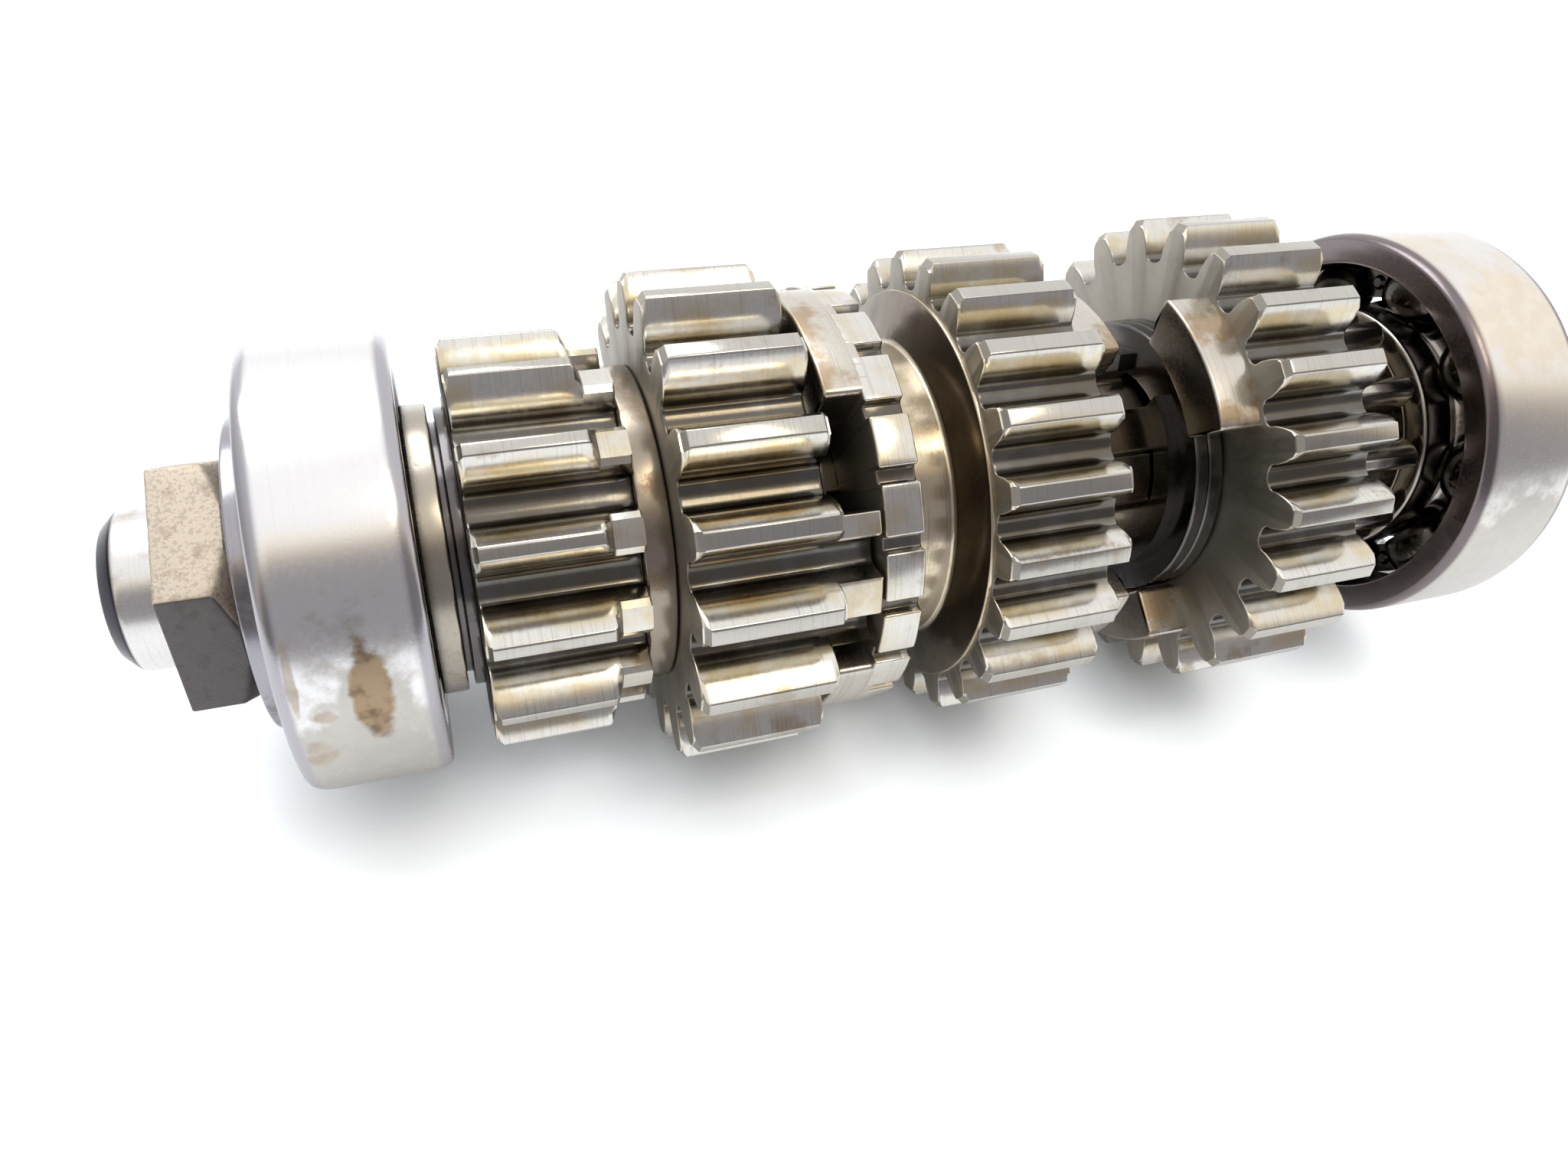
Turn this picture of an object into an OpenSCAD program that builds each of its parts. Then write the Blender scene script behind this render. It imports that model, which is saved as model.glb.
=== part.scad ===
// Main shaft of a constant-mesh gearbox, lying on its side with its axis along X.
// The origin is on the shaft axis, midway across the small ball bearing; +Z is up.
// Turn angles are counted about +X from +Y, so 90 is up and 270 is down.
// Everything is drawn upright along its own axis and laid along X by lay().

/* [Small ball bearing] */
// Outside diameter of the outer ring
small_od = 47; // [46:0.1:49]
// Bore of the inner ring, which is the shaft's seat
small_bore = 20; // [19.5:0.1:20.5]
// Width of both rings
small_w = 14; // [13:0.1:16]
// Number of balls
small_balls = 8; // [6:1:8]
// Length of the rounded corner of the outer ring
small_corner = 2.2; // [0.6:0.1:2.6]

/* [Large ball bearing] */
// Outside diameter of the outer ring
large_od = 52; // [51.5:0.1:54]
// Bore of the inner ring, which is the shaft's seat
large_bore = 25; // [24:0.1:25.6]
// Width of both rings
large_w = 15; // [14:0.1:17]
// Number of balls
large_balls = 9; // [7:1:9]
// Length of the rounded corner of the outer ring
large_corner = 2.2; // [0.6:0.1:2.6]

/* [Balls and cages] */
// Radial depth of the outer rings' rounded corners, as a share of their length
corner_share = 0.42; // [0.3:0.02:1]
// Ball diameter in both bearings
ball_d = 7.94; // [7.2:0.02:8]
// Sheet thickness of the pressed cages
cage_t = 0.7; // [0.5:0.05:0.9]
// Width of the cage band across the balls
cage_band = 3.9; // [3.2:0.1:4.2]
// Rivet diameter in the cages
rivet_d = 1.2; // [0.8:0.1:1.4]

/* [Lock nut and stub] */
// Width across the nut's flats
nut_af = 24; // [22:0.5:26]
// Thickness of the nut
nut_h = 7.2; // [6:0.1:9]
// Length of the chamfer on the nut's corners
nut_chamfer = 2.3; // [1:0.1:3.5]
// Outside diameter of the nut's thread
thread_d = 18; // [17.2:0.1:18.6]
// Thickness of the washer under the nut
nut_washer_t = 2.4; // [1:0.1:3]
// Diameter of the washer under the nut
nut_washer_d = 32.6; // [28:0.1:33]
// Diameter of the smooth stub at the nut's end
stub_d = 16.8; // [15:0.1:17]
// Length of the stub beyond the nut
stub_len = 5.9; // [4:0.1:10]
// Chamfer at the stub's end
stub_chamfer = 1.6; // [0.5:0.1:2.4]

/* [Spacers at the small bearing] */
// Diameter of the spacer collar
collar_d = 31.4; // [28:0.1:33]
// Width of the spacer collar
collar_w = 2.7; // [1.5:0.1:6]
// Diameter of the shim
shim_d = 27.4; // [24:0.1:30]
// Thickness of the shim
shim_t = 0.7; // [0.4:0.1:1.5]
// Diameter of the thrust washer at the fixed pinion
thrust_d = 30.4; // [27:0.1:32]
// Thickness of the thrust washer at the fixed pinion
thrust_t = 1.2; // [0.8:0.1:2]

/* [Shaft splines] */
// Number of splines
spline_n = 6; // [6:1:8]
// Outside diameter over the splines
spline_d = 24.4; // [23.6:0.1:24.8]
// Width of one spline
spline_w = 5.4; // [4.5:0.1:6]

/* [Fixed second pinion] */
// Number of teeth
second_z = 14; // [13:1:15]
// Module of the teeth
second_m = 2.75; // [2.6:0.01:2.8]
// Diameter over the teeth
second_tip_d = 44.7; // [43.8:0.1:45.4]
// Diameter at the root of the teeth
second_root_d = 33; // [32:0.1:33.6]
// Width of the pinion
second_w = 16.45; // [14:0.05:20]
// Width of the stepped-down end
second_step_w = 3.2; // [2:0.1:4.5]
// Diameter of the stepped-down end
second_step_d = 40.2; // [38.6:0.1:41]
// Turn of one tooth
second_turn = 137.2; // [0:0.1:360]

/* [Thrust collar between second and fifth] */
// Diameter of the thrust collar
mid_collar_d = 35.6; // [33:0.1:37]
// Width of the thrust collar
mid_collar_w = 3.15; // [2:0.05:5]

/* [Free fifth gear] */
// Number of teeth
fifth_z = 18; // [17:1:19]
// Module of the teeth
fifth_m = 2.75; // [2.7:0.01:2.8]
// Diameter over the teeth
fifth_tip_d = 55.2; // [54.6:0.1:55.8]
// Diameter at the root of the teeth
fifth_root_d = 43.2; // [42:0.1:44]
// Width of the toothed body
fifth_w = 14.75; // [12:0.05:18]
// Turn of one tooth
fifth_turn = 140; // [0:0.1:360]
// Diameter over the dogs
fifth_dog_d = 49.8; // [49:0.1:51]
// Length of the dogs
fifth_dog_h = 4.7; // [4.2:0.1:6]
// Angle covered by one dog
fifth_dog_a = 36.1; // [30:0.1:40]
// Turn of the first dog's leading side
fifth_dog_turn = 139; // [134:0.1:144]

/* [Sliding third gear] */
// Number of teeth
third_z = 22; // [21:1:23]
// Module of the teeth
third_m = 2.33; // [2.3:0.01:2.36]
// Diameter over the teeth
third_tip_d = 55.6; // [55:0.1:56.2]
// Diameter at the root of the teeth
third_root_d = 47.2; // [46.4:0.1:48]
// Width of the toothed body
third_w = 14.7; // [12:0.1:18]
// Turn of one tooth
third_turn = 123.5; // [0:0.1:360]
// How far the face inside the teeth stands proud of them, at the fork groove
rim_proud = 0.4; // [0.2:0.05:1]
// Width of the fork groove at its floor
fork_groove_w = 7; // [5:0.1:9]
// Diameter of the fork groove's floor
fork_groove_d = 35; // [33:0.1:37]
// Diameter of the slotted dog ring
dog_ring_d = 49.4; // [48.8:0.1:51]
// Width of the slotted dog ring
dog_ring_w = 4.3; // [3:0.1:6]
// Depth of the slots in the dog ring
dog_slot = 1.1; // [0.6:0.1:1.6]
// Length of the dogs towards the fifth gear
left_dog_h = 4; // [3.4:0.1:4.4]
// Angle covered by one dog towards the fifth gear
left_dog_a = 46.7; // [42:0.1:50]
// Turn of the first dog's leading side, towards the fifth gear
left_dog_turn = 64.4; // [60:0.1:67]
// Length of the dogs towards the fourth gear
right_dog_h = 5.7; // [4:0.1:6.5]
// Angle covered by one dog towards the fourth gear
right_dog_a = 43; // [38:0.1:46]
// Turn of the first dog's leading side, towards the fourth gear
right_dog_turn = 59.9; // [0:0.1:360]
// Diameter over the dogs towards the fourth gear
right_dog_d = 45; // [43:0.1:46]
// Free way from these dogs to those of the fourth gear
dog_way = 8.2; // [6:0.1:12]

/* [Free fourth gear] */
// Number of teeth
fourth_z = 22; // [21:1:23]
// Module of the teeth
fourth_m = 2.455; // [2.43:0.005:2.48]
// Diameter over the teeth
fourth_tip_d = 58.9; // [58:0.1:59.4]
// Diameter at the root of the teeth
fourth_root_d = 48.6; // [48:0.1:49.4]
// Width of the toothed body
fourth_w = 13.9; // [12:0.1:18]
// Turn of one tooth
fourth_turn = 137; // [0:0.1:360]
// Diameter over the dogs
fourth_dog_d = 48; // [46:0.1:48]
// Length of the dogs
fourth_dog_h = 5.3; // [4.6:0.1:7]
// Angle covered by one dog
fourth_dog_a = 43.1; // [38:0.1:46]
// Turn of the first dog's leading side
fourth_dog_turn = 88.4; // [0:0.1:360]

/* [Bushes, washers and clips] */
// Wall of the fifth gear's bush
fifth_bush_t = 2.3; // [1.5:0.1:2.6]
// Wall of the fourth gear's bush
fourth_bush_t = 2.5; // [1.5:0.1:3]
// Thickness of the fifth gear's splined washer
fifth_washer_t = 1.5; // [1:0.1:2]
// Thickness of the fourth gear's splined thrust washer
fourth_washer_t = 2; // [1.5:0.1:2.4]
// Thickness of the fourth gear's splined lock washer
lock_washer_t = 1.8; // [1:0.1:2.2]
// Diameter of the splined washers
washer_d = 34.8; // [32:0.1:35]
// Thickness of the circlips
clip_t = 1.3; // [1:0.1:1.6]
// Radial width of the circlips
clip_w = 3; // [2:0.1:3.4]
// Open angle of the circlips
clip_gap = 34; // [20:1:60]

/* [First pinion and shaft end] */
// Number of teeth
first_z = 12; // [11:1:13]
// Module of the teeth
first_m = 2.54; // [2.5:0.01:2.6]
// Diameter over the teeth
first_tip_d = 36; // [35:0.1:37]
// Diameter at the root of the teeth
first_root_d = 25.8; // [25.4:0.1:26.6]
// Width of the pinion
first_w = 15.05; // [12:0.05:18]
// Turn of one tooth
first_turn = 151.8; // [0:0.1:360]
// Diameter of the shoulder at the large bearing
shoulder_d = 30; // [28:0.1:32]
// Width of the shoulder at the large bearing
shoulder_w = 1.6; // [1:0.1:4]
// Diameter of the journal under the fourth gear's bush
journal_d = 26; // [25.6:0.1:27]
// Length of the shaft beyond the large bearing
end_len = 3.3; // [2:0.1:12]
// Chamfer at the shaft's end
end_chamfer = 1; // [0.5:0.1:1.5]

/* [Fits and edges] */
// Gap between the balls and the grooves of their rings
ball_gap = 0.15; // [0.05:0.01:0.25]
// Gap of a turning fit, at the radius
run_gap = 0.04; // [0.02:0.01:0.08]
// Gap between the slider's splines and the shaft's
slide_gap = 0.08; // [0.04:0.01:0.15]
// Gap of a fixed fit, at the radius
seat_gap = 0.01; // [0.005:0.005:0.02]
// End play of a free gear, on each side
play = 0.15; // [0.1:0.01:0.3]
// End gap between the dogs and the face that they reach
dog_end_gap = 0.4; // [0.3:0.1:1]
// Chamfer on tooth ends
tooth_chamfer = 0.8; // [0.3:0.1:1.2]
// Chamfer on washers, collars and dogs
edge = 0.3; // [0.1:0.05:0.4]
// Fillet at the root of the teeth
root_fillet = 0.45; // [0.2:0.05:0.6]
// Least width of a tooth's tip
least_land = 0.5; // [0.3:0.05:0.8]
// Diameter of the centre holes in the shaft's ends
centre_hole_d = 4.8; // [3:0.1:6]
// Depth of the centre holes
centre_hole_depth = 2.8; // [1.5:0.1:5]

/* [Hidden] */
$fn = 96;
pressure_angle = 20;
flank_steps = 4;   // straight steps along one tooth flank
dogs = 3;          // dogs around each gear
eps = 0.01;

// Places along the axis, each from the piece before it
x_small = -small_w / 2;
x_nut_washer = x_small - nut_washer_t;
x_nut = x_nut_washer - nut_h;
x_stub = x_nut - stub_len;
x_collar = x_small + small_w;
x_shim = x_collar + collar_w;
x_thrust = x_shim + shim_t;
x_second = x_thrust + thrust_t;
x_mid_collar = x_second + second_w;
x_fifth_bush = x_mid_collar + mid_collar_w;
x_fifth = x_fifth_bush + play;
x_fifth_end = x_fifth + fifth_w;
x_fifth_washer = x_fifth_end + play;
x_fifth_clip = x_fifth_washer + fifth_washer_t;
x_ring = x_fifth_end + fifth_dog_h + dog_end_gap;
x_groove = x_ring + dog_ring_w;
x_dish = x_groove + fork_groove_w;
dish = (third_root_d - fork_groove_d) / 2 * 0.18;   // slope of the groove's toothed side
x_third = x_dish + dish;
x_third_end = x_third + third_w;
x_fourth_dog = x_third_end + right_dog_h + dog_way;
x_fourth = x_fourth_dog + fourth_dog_h;
x_fourth_end = x_fourth + fourth_w;
x_fourth_washer = x_fourth - play - fourth_washer_t;
x_lock_washer = x_fourth_washer - lock_washer_t;
x_fourth_clip = x_lock_washer - clip_t;
x_first = x_fourth_end + play;
x_shoulder = x_first + first_w;
x_large = x_shoulder + shoulder_w;
x_end = x_large + large_w + end_len;

// Radii that several pieces share
small_seat_r = small_bore / 2;
large_seat_r = large_bore / 2;
spline_minor_r = small_seat_r + 0.8;
ball_r = ball_d / 2;
small_pitch_r = (small_od + small_bore) / 4;
large_pitch_r = (large_od + large_bore) / 4;
fifth_bore_r = spline_d / 2 + seat_gap + fifth_bush_t + run_gap;
fourth_bore_r = journal_d / 2 + seat_gap + fourth_bush_t + run_gap;
dog_inner_r = washer_d / 2 + 0.4;   // dogs stand clear of the washers inside them
clip_floor_r = spline_minor_r + 0.3;

steel = [0.72, 0.71, 0.69];
dark_steel = [0.45, 0.43, 0.41];
bright_steel = [0.82, 0.81, 0.79];
bronze = [0.62, 0.5, 0.3];

// Lays what is drawn upright at height x along the X axis
module lay(x = 0) rotate([90, 0, 90]) translate([0, 0, x]) children();

// Ring from radius a to radius b, h long, with chamfers c
module ring(a, b, h, c = 0) {
    rotate_extrude()
        polygon([[a, c], [a + c, 0], [b - c, 0], [b, c],
                 [b, h - c], [b - c, h], [a + c, h], [a, h - c]]);
}

// Part of a ring between two turns, h long
module sector(a, b, h, turn, angle) {
    rotate([0, 0, turn]) rotate_extrude(angle = angle)
        translate([a, 0]) square([b - a, h]);
}

function polar(r, a) = [r * cos(a), r * sin(a)];
function involute(a) = tan(a) * 180 / PI - a;

// Half the angle of a tooth at radius r, on an involute flank; it keeps the least land where
// the flanks would meet
function half_tooth(r, z, m) =
    let (pitch_r = z * m / 2, base_r = pitch_r * cos(pressure_angle))
    max(90 / z + involute(pressure_angle) - (r > base_r ? involute(acos(base_r / r)) : 0),
        least_land / 2 / r * 180 / PI);

// Outline of one tooth about turn a, from one root to the next
function tooth(a, z, m, root_r, top_r) =
    let (base_r = z * m / 2 * cos(pressure_angle),
         foot_r = root_r + root_fillet,
         start_r = max(foot_r, base_r),
         foot_a = half_tooth(foot_r, z, m),
         fillet_a = min(root_fillet / root_r * 180 / PI, 180 / z - foot_a - 0.3),
         flank = [for (k = [0:flank_steps]) start_r + (top_r - start_r) * k / flank_steps])
    concat([polar(root_r, a - foot_a - fillet_a),
            polar(root_r + root_fillet * 0.3, a - foot_a - fillet_a * 0.3)],
           base_r > foot_r + 0.05 ? [polar(foot_r, a - foot_a)] : [],
           [for (r = flank) polar(r, a - half_tooth(r, z, m))],
           [for (k = [flank_steps:-1:0]) polar(flank[k], a + half_tooth(flank[k], z, m))],
           base_r > foot_r + 0.05 ? [polar(foot_r, a + foot_a)] : [],
           [polar(root_r + root_fillet * 0.3, a + foot_a + fillet_a * 0.3),
            polar(root_r, a + foot_a + fillet_a),
            polar(root_r, a + 180 / z)]);

// Toothed bar, h long; its tooth tips are cut to a cylinder by what it is intersected with
module toothed_bar(z, m, root_r, tip_r, h, turn) {
    linear_extrude(height = h)
        polygon([for (i = [0:z - 1]) each tooth(turn + i * 360 / z, z, m, root_r, tip_r + 0.2)]);
}

// Turned blank of a gear from bore to tip, with chamfered ends
module blank(bore_r, tip_r, h, c1, c2) {
    rotate_extrude()
        polygon([[bore_r, 0], [tip_r - c1, 0], [tip_r, c1 * 0.8],
                 [tip_r, h - c2 * 0.8], [tip_r - c2, h], [bore_r, h]]);
}

// Splined bar of the shaft, grown by gap on every side
module splines(h, gap = 0) {
    intersection() {
        cylinder(r = spline_d / 2 + gap, h = h);
        union() {
            cylinder(r = spline_minor_r + gap, h = h);
            for (i = [0:spline_n - 1])
                rotate([0, 0, i * 360 / spline_n])
                    translate([0, -spline_w / 2 - gap, 0])
                        cube([spline_d, spline_w + 2 * gap, h]);
        }
    }
}

// Section of a bearing's outer ring: rounded outer corners and the ball groove
module outer_ring(pitch_r, od, w, corner) {
    inner_r = pitch_r + ball_r * 0.72;
    depth = corner * corner_share;
    rotate_extrude() difference() {
        union() {
            translate([inner_r, edge]) square([od / 2 - depth - inner_r, w - 2 * edge]);
            translate([inner_r + edge, 0]) square([od / 2 - depth - inner_r - edge, w]);
            translate([inner_r + edge, corner]) square([od / 2 - inner_r - edge, w - 2 * corner]);
            translate([od / 2 - depth, corner]) scale([corner_share, 1]) circle(r = corner);
            translate([od / 2 - depth, w - corner]) scale([corner_share, 1]) circle(r = corner);
        }
        translate([pitch_r, w / 2]) circle(r = ball_r + ball_gap);
    }
}

module inner_ring(pitch_r, bore, w) {
    outer_r = pitch_r - ball_r * 0.64;
    rotate_extrude() difference() {
        polygon([[bore / 2 + seat_gap, edge], [bore / 2 + edge, 0],
                 [outer_r - 2 * edge, 0], [outer_r, 2 * edge],
                 [outer_r, w - 2 * edge], [outer_r - 2 * edge, w],
                 [bore / 2 + edge, w], [bore / 2 + seat_gap, w - edge]]);
        translate([pitch_r, w / 2]) circle(r = ball_r + ball_gap);
    }
}

module ball_set(pitch_r, n, w) {
    for (i = [0:n - 1])
        rotate([0, 0, i * 360 / n]) translate([pitch_r, 0, w / 2]) sphere(r = ball_r);
}

// One pressed half of a cage: a flat band with a round pocket over each ball
module cage_half(pitch_r, n, w, side) {
    pocket_r = ball_r + 0.12;
    translate([0, 0, w / 2]) mirror([0, 0, side < 0 ? 1 : 0]) difference() {
        intersection() {
            union() {
                ring(pitch_r - cage_band / 2, pitch_r + cage_band / 2, cage_t);
                for (i = [0:n - 1])
                    rotate([0, 0, i * 360 / n]) translate([pitch_r, 0, 0])
                        sphere(r = pocket_r + cage_t);
            }
            ring(pitch_r - cage_band / 2, pitch_r + cage_band / 2, ball_d);
        }
        for (i = [0:n - 1])
            rotate([0, 0, i * 360 / n]) translate([pitch_r, 0, 0]) sphere(r = pocket_r);
        for (i = [0:n - 1])
            rotate([0, 0, (i + 0.5) * 360 / n]) translate([pitch_r, 0, -eps])
                cylinder(d = rivet_d, h = cage_t + 2 * eps, $fn = 24);
    }
}

module cage_rivets(pitch_r, n, w) {
    for (i = [0:n - 1])
        rotate([0, 0, (i + 0.5) * 360 / n]) translate([pitch_r, 0, w / 2]) {
            translate([0, 0, -cage_t]) cylinder(d = rivet_d, h = 2 * cage_t, $fn = 24);
            for (s = [0, 1]) mirror([0, 0, s]) translate([0, 0, cage_t])
                cylinder(d1 = rivet_d * 1.7, d2 = rivet_d, h = rivet_d / 3, $fn = 24);
        }
}

// Circlip in its groove on the splines, open at the top
module circlip() {
    rotate([0, 0, 90 + clip_gap / 2]) rotate_extrude(angle = 360 - clip_gap)
        translate([clip_floor_r + seat_gap, seat_gap]) square([clip_w, clip_t - 2 * seat_gap]);
}

module splined_washer(t) {
    difference() {
        ring(spline_minor_r - 1, washer_d / 2, t, edge);
        translate([0, 0, -eps]) splines(t + 2 * eps, 2 * seat_gap);
    }
}

module centre_hole() {
    cylinder(d1 = centre_hole_d, d2 = centre_hole_d / 3, h = centre_hole_depth);
}

module main_shaft() {
    color(dark_steel) lay() difference() {
        union() {
            // stub, thread and small bearing's seat
            rotate_extrude() polygon([
                [0, x_stub], [stub_d / 2 - stub_chamfer, x_stub], [stub_d / 2, x_stub + stub_chamfer],
                [stub_d / 2, x_nut - edge], [thread_d / 2, x_nut], [thread_d / 2, x_small + 0.3],
                [small_seat_r, x_small + 0.3], [small_seat_r, x_second], [0, x_second]]);
            translate([0, 0, x_second]) splines(x_fourth - play - x_second);
            // journal, shoulder, large bearing's seat and end
            rotate_extrude() polygon([
                [0, x_fourth - play], [journal_d / 2, x_fourth - play], [journal_d / 2, x_first],
                [first_root_d / 2 - 0.2, x_first], [first_root_d / 2 - 0.2, x_shoulder],
                [shoulder_d / 2 - edge, x_shoulder], [shoulder_d / 2, x_shoulder + edge],
                [shoulder_d / 2, x_large], [large_seat_r, x_large],
                [large_seat_r, x_end - end_chamfer], [large_seat_r - end_chamfer, x_end], [0, x_end]]);
            // first pinion, cut from the shaft
            translate([0, 0, x_first]) intersection() {
                toothed_bar(first_z, first_m, first_root_d / 2, first_tip_d / 2, first_w, first_turn);
                blank(spline_minor_r, first_tip_d / 2, first_w, edge, tooth_chamfer);
            }
        }
        // circlip grooves
        for (x = [x_fifth_clip, x_fourth_clip])
            translate([0, 0, x]) ring(clip_floor_r, spline_d, clip_t);
        // centre holes
        translate([0, 0, x_stub - eps]) centre_hole();
        translate([0, 0, x_end + eps]) mirror([0, 0, 1]) centre_hole();
    }
}

module lock_nut() {
    corner_r = nut_af / 2 / cos(30);
    face_r = nut_af / 2 - 0.9;
    color(dark_steel) lay(x_nut) difference() {
        intersection() {
            rotate([0, 0, 20.6]) cylinder(r = corner_r, h = nut_h, $fn = 6);
            rotate_extrude() polygon([[0, 0], [corner_r + 1, 0],
                [corner_r + 1, nut_h - nut_chamfer * (corner_r + 1 - face_r) / (corner_r - face_r)],
                [face_r, nut_h], [0, nut_h]]);
        }
        translate([0, 0, -eps]) cylinder(r = thread_d / 2 + seat_gap, h = nut_h + 2 * eps);
    }
}

module nut_washer() {
    color(dark_steel) lay(x_nut_washer)
        ring(thread_d / 2 + 0.2, nut_washer_d / 2, nut_washer_t, edge);
}

module small_bearing_inner_ring() {
    color(steel) lay(x_small) inner_ring(small_pitch_r, small_bore, small_w);
}

module small_bearing_outer_ring() {
    color(bright_steel) lay(x_small) outer_ring(small_pitch_r, small_od, small_w, small_corner);
}

module small_bearing_balls() {
    color(bright_steel) lay(x_small) ball_set(small_pitch_r, small_balls, small_w);
}

module small_bearing_cage_left() {
    color(dark_steel) lay(x_small) cage_half(small_pitch_r, small_balls, small_w, -1);
}

module small_bearing_cage_right() {
    color(dark_steel) lay(x_small) cage_half(small_pitch_r, small_balls, small_w, 1);
}

module small_bearing_rivets() {
    color(dark_steel) lay(x_small) cage_rivets(small_pitch_r, small_balls, small_w);
}

module spacer_collar() {
    color(steel) lay(x_collar) ring(small_seat_r + seat_gap, collar_d / 2, collar_w, edge);
}

module shim() {
    color(dark_steel) lay(x_shim) ring(small_seat_r + seat_gap, shim_d / 2, shim_t);
}

module thrust_washer() {
    color(steel) lay(x_thrust) ring(small_seat_r + seat_gap, thrust_d / 2, thrust_t, edge);
}

module second_pinion() {
    tip_r = second_tip_d / 2;
    step_r = second_step_d / 2;
    step_x = second_w - second_step_w;
    color(steel) lay(x_second) difference() {
        intersection() {
            toothed_bar(second_z, second_m, second_root_d / 2, tip_r, second_w, second_turn);
            rotate_extrude() polygon([
                [spline_minor_r - 1, 0], [tip_r - tooth_chamfer, 0], [tip_r, tooth_chamfer],
                [tip_r, step_x - 1.2], [tip_r - 0.3, step_x - 0.7], [step_r + 0.2, step_x],
                [step_r, step_x + 0.3], [step_r, second_w - edge], [step_r - edge, second_w],
                [spline_minor_r - 1, second_w]]);
        }
        translate([0, 0, -eps]) splines(second_w + 2 * eps, seat_gap);
    }
}

module mid_thrust_collar() {
    color(steel) lay(x_mid_collar) difference() {
        ring(spline_minor_r - 1, mid_collar_d / 2, mid_collar_w, edge);
        translate([0, 0, -eps]) splines(mid_collar_w + 2 * eps, 2 * seat_gap);
    }
}

module fifth_gear() {
    color(steel) lay(x_fifth) intersection() {
        toothed_bar(fifth_z, fifth_m, fifth_root_d / 2, fifth_tip_d / 2,
                    fifth_w + fifth_dog_h, fifth_turn);
        union() {
            blank(fifth_bore_r, fifth_tip_d / 2, fifth_w, tooth_chamfer, tooth_chamfer);
            for (i = [0:dogs - 1])
                translate([0, 0, fifth_w - 1])
                    sector(dog_inner_r, fifth_dog_d / 2, fifth_dog_h + 1,
                           fifth_dog_turn + i * 360 / dogs, fifth_dog_a);
        }
    }
}

module fifth_gear_bush() {
    color(bronze) lay(x_fifth_bush)
        ring(spline_d / 2 + seat_gap, spline_d / 2 + seat_gap + fifth_bush_t,
             fifth_w + 2 * play, edge);
}

module fifth_gear_washer() {
    color(steel) lay(x_fifth_washer) splined_washer(fifth_washer_t);
}

module fifth_gear_circlip() {
    color(dark_steel) lay(x_fifth_clip) circlip();
}

// Outline of the slotted dog ring: one narrow slot in line with each gap between teeth
function slotted(z, turn, r, slot) =
    let (gap_a = 2.1, floor_a = 1.7)
    [for (i = [0:z - 1]) let (a = turn + (i + 0.5) * 360 / z)
        each [polar(r + 0.2, a - gap_a), polar(r - slot, a - floor_a),
              polar(r - slot, a + floor_a), polar(r + 0.2, a + gap_a),
              polar((r + 0.3) / cos(90 / z), a + 90 / z), polar((r + 0.3) / cos(90 / z), a + 180 / z),
              polar((r + 0.3) / cos(90 / z), a + 270 / z)]];

module sliding_gear() {
    ring_r = dog_ring_d / 2;
    root_r = third_root_d / 2;
    rim_r = root_r - 0.15;
    floor_r = fork_groove_d / 2;
    length = x_third_end - x_ring;
    color(steel) lay() difference() {
        union() {
            // slotted dog ring and its dogs
            translate([0, 0, x_ring - left_dog_h]) intersection() {
                linear_extrude(height = left_dog_h + dog_ring_w)
                    polygon(slotted(third_z, third_turn, ring_r, dog_slot));
                union() {
                    translate([0, 0, left_dog_h])
                        ring(spline_minor_r - 1, ring_r, dog_ring_w, edge);
                    for (i = [0:dogs - 1])
                        sector(dog_inner_r, ring_r, left_dog_h + 1,
                               left_dog_turn + i * 360 / dogs, left_dog_a);
                }
            }
            // hub under the fork groove, with the groove's dished side
            rotate_extrude() polygon([
                [spline_minor_r - 1, x_groove - 1], [floor_r, x_groove - 1], [floor_r, x_dish - 0.4],
                [floor_r + 0.4, x_dish], [rim_r - 0.2, x_third], [rim_r, x_third + 0.2],
                [rim_r, x_third + rim_proud + 1], [spline_minor_r - 1, x_third + rim_proud + 1]]);
            // third gear
            translate([0, 0, x_third + rim_proud]) intersection() {
                toothed_bar(third_z, third_m, root_r, third_tip_d / 2, third_w - rim_proud,
                            third_turn);
                blank(spline_minor_r - 1, third_tip_d / 2, third_w - rim_proud, tooth_chamfer,
                      tooth_chamfer);
            }
            // dogs towards the fourth gear
            for (i = [0:dogs - 1])
                translate([0, 0, x_third_end - 1])
                    sector(dog_inner_r, right_dog_d / 2, right_dog_h + 1,
                           right_dog_turn + i * 360 / dogs, right_dog_a);
        }
        translate([0, 0, x_ring - eps]) splines(length + 2 * eps, slide_gap);
    }
}

module fourth_gear() {
    color(steel) lay(x_fourth) union() {
        intersection() {
            toothed_bar(fourth_z, fourth_m, fourth_root_d / 2, fourth_tip_d / 2, fourth_w,
                        fourth_turn);
            blank(fourth_bore_r, fourth_tip_d / 2, fourth_w, tooth_chamfer, tooth_chamfer);
        }
        for (i = [0:dogs - 1])
            translate([0, 0, -fourth_dog_h])
                sector(dog_inner_r, fourth_dog_d / 2, fourth_dog_h + 1,
                       fourth_dog_turn + i * 360 / dogs, fourth_dog_a);
    }
}

module fourth_gear_bush() {
    color(bronze) lay(x_fourth - play)
        ring(journal_d / 2 + seat_gap, journal_d / 2 + seat_gap + fourth_bush_t,
             fourth_w + 2 * play, edge);
}

module fourth_gear_washer() {
    color(steel) lay(x_fourth_washer) splined_washer(fourth_washer_t);
}

module fourth_gear_lock_washer() {
    color(steel) lay(x_lock_washer) splined_washer(lock_washer_t);
}

module fourth_gear_circlip() {
    color(dark_steel) lay(x_fourth_clip) circlip();
}

module large_bearing_inner_ring() {
    color(steel) lay(x_large) inner_ring(large_pitch_r, large_bore, large_w);
}

module large_bearing_outer_ring() {
    color(bright_steel) lay(x_large) outer_ring(large_pitch_r, large_od, large_w, large_corner);
}

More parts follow.
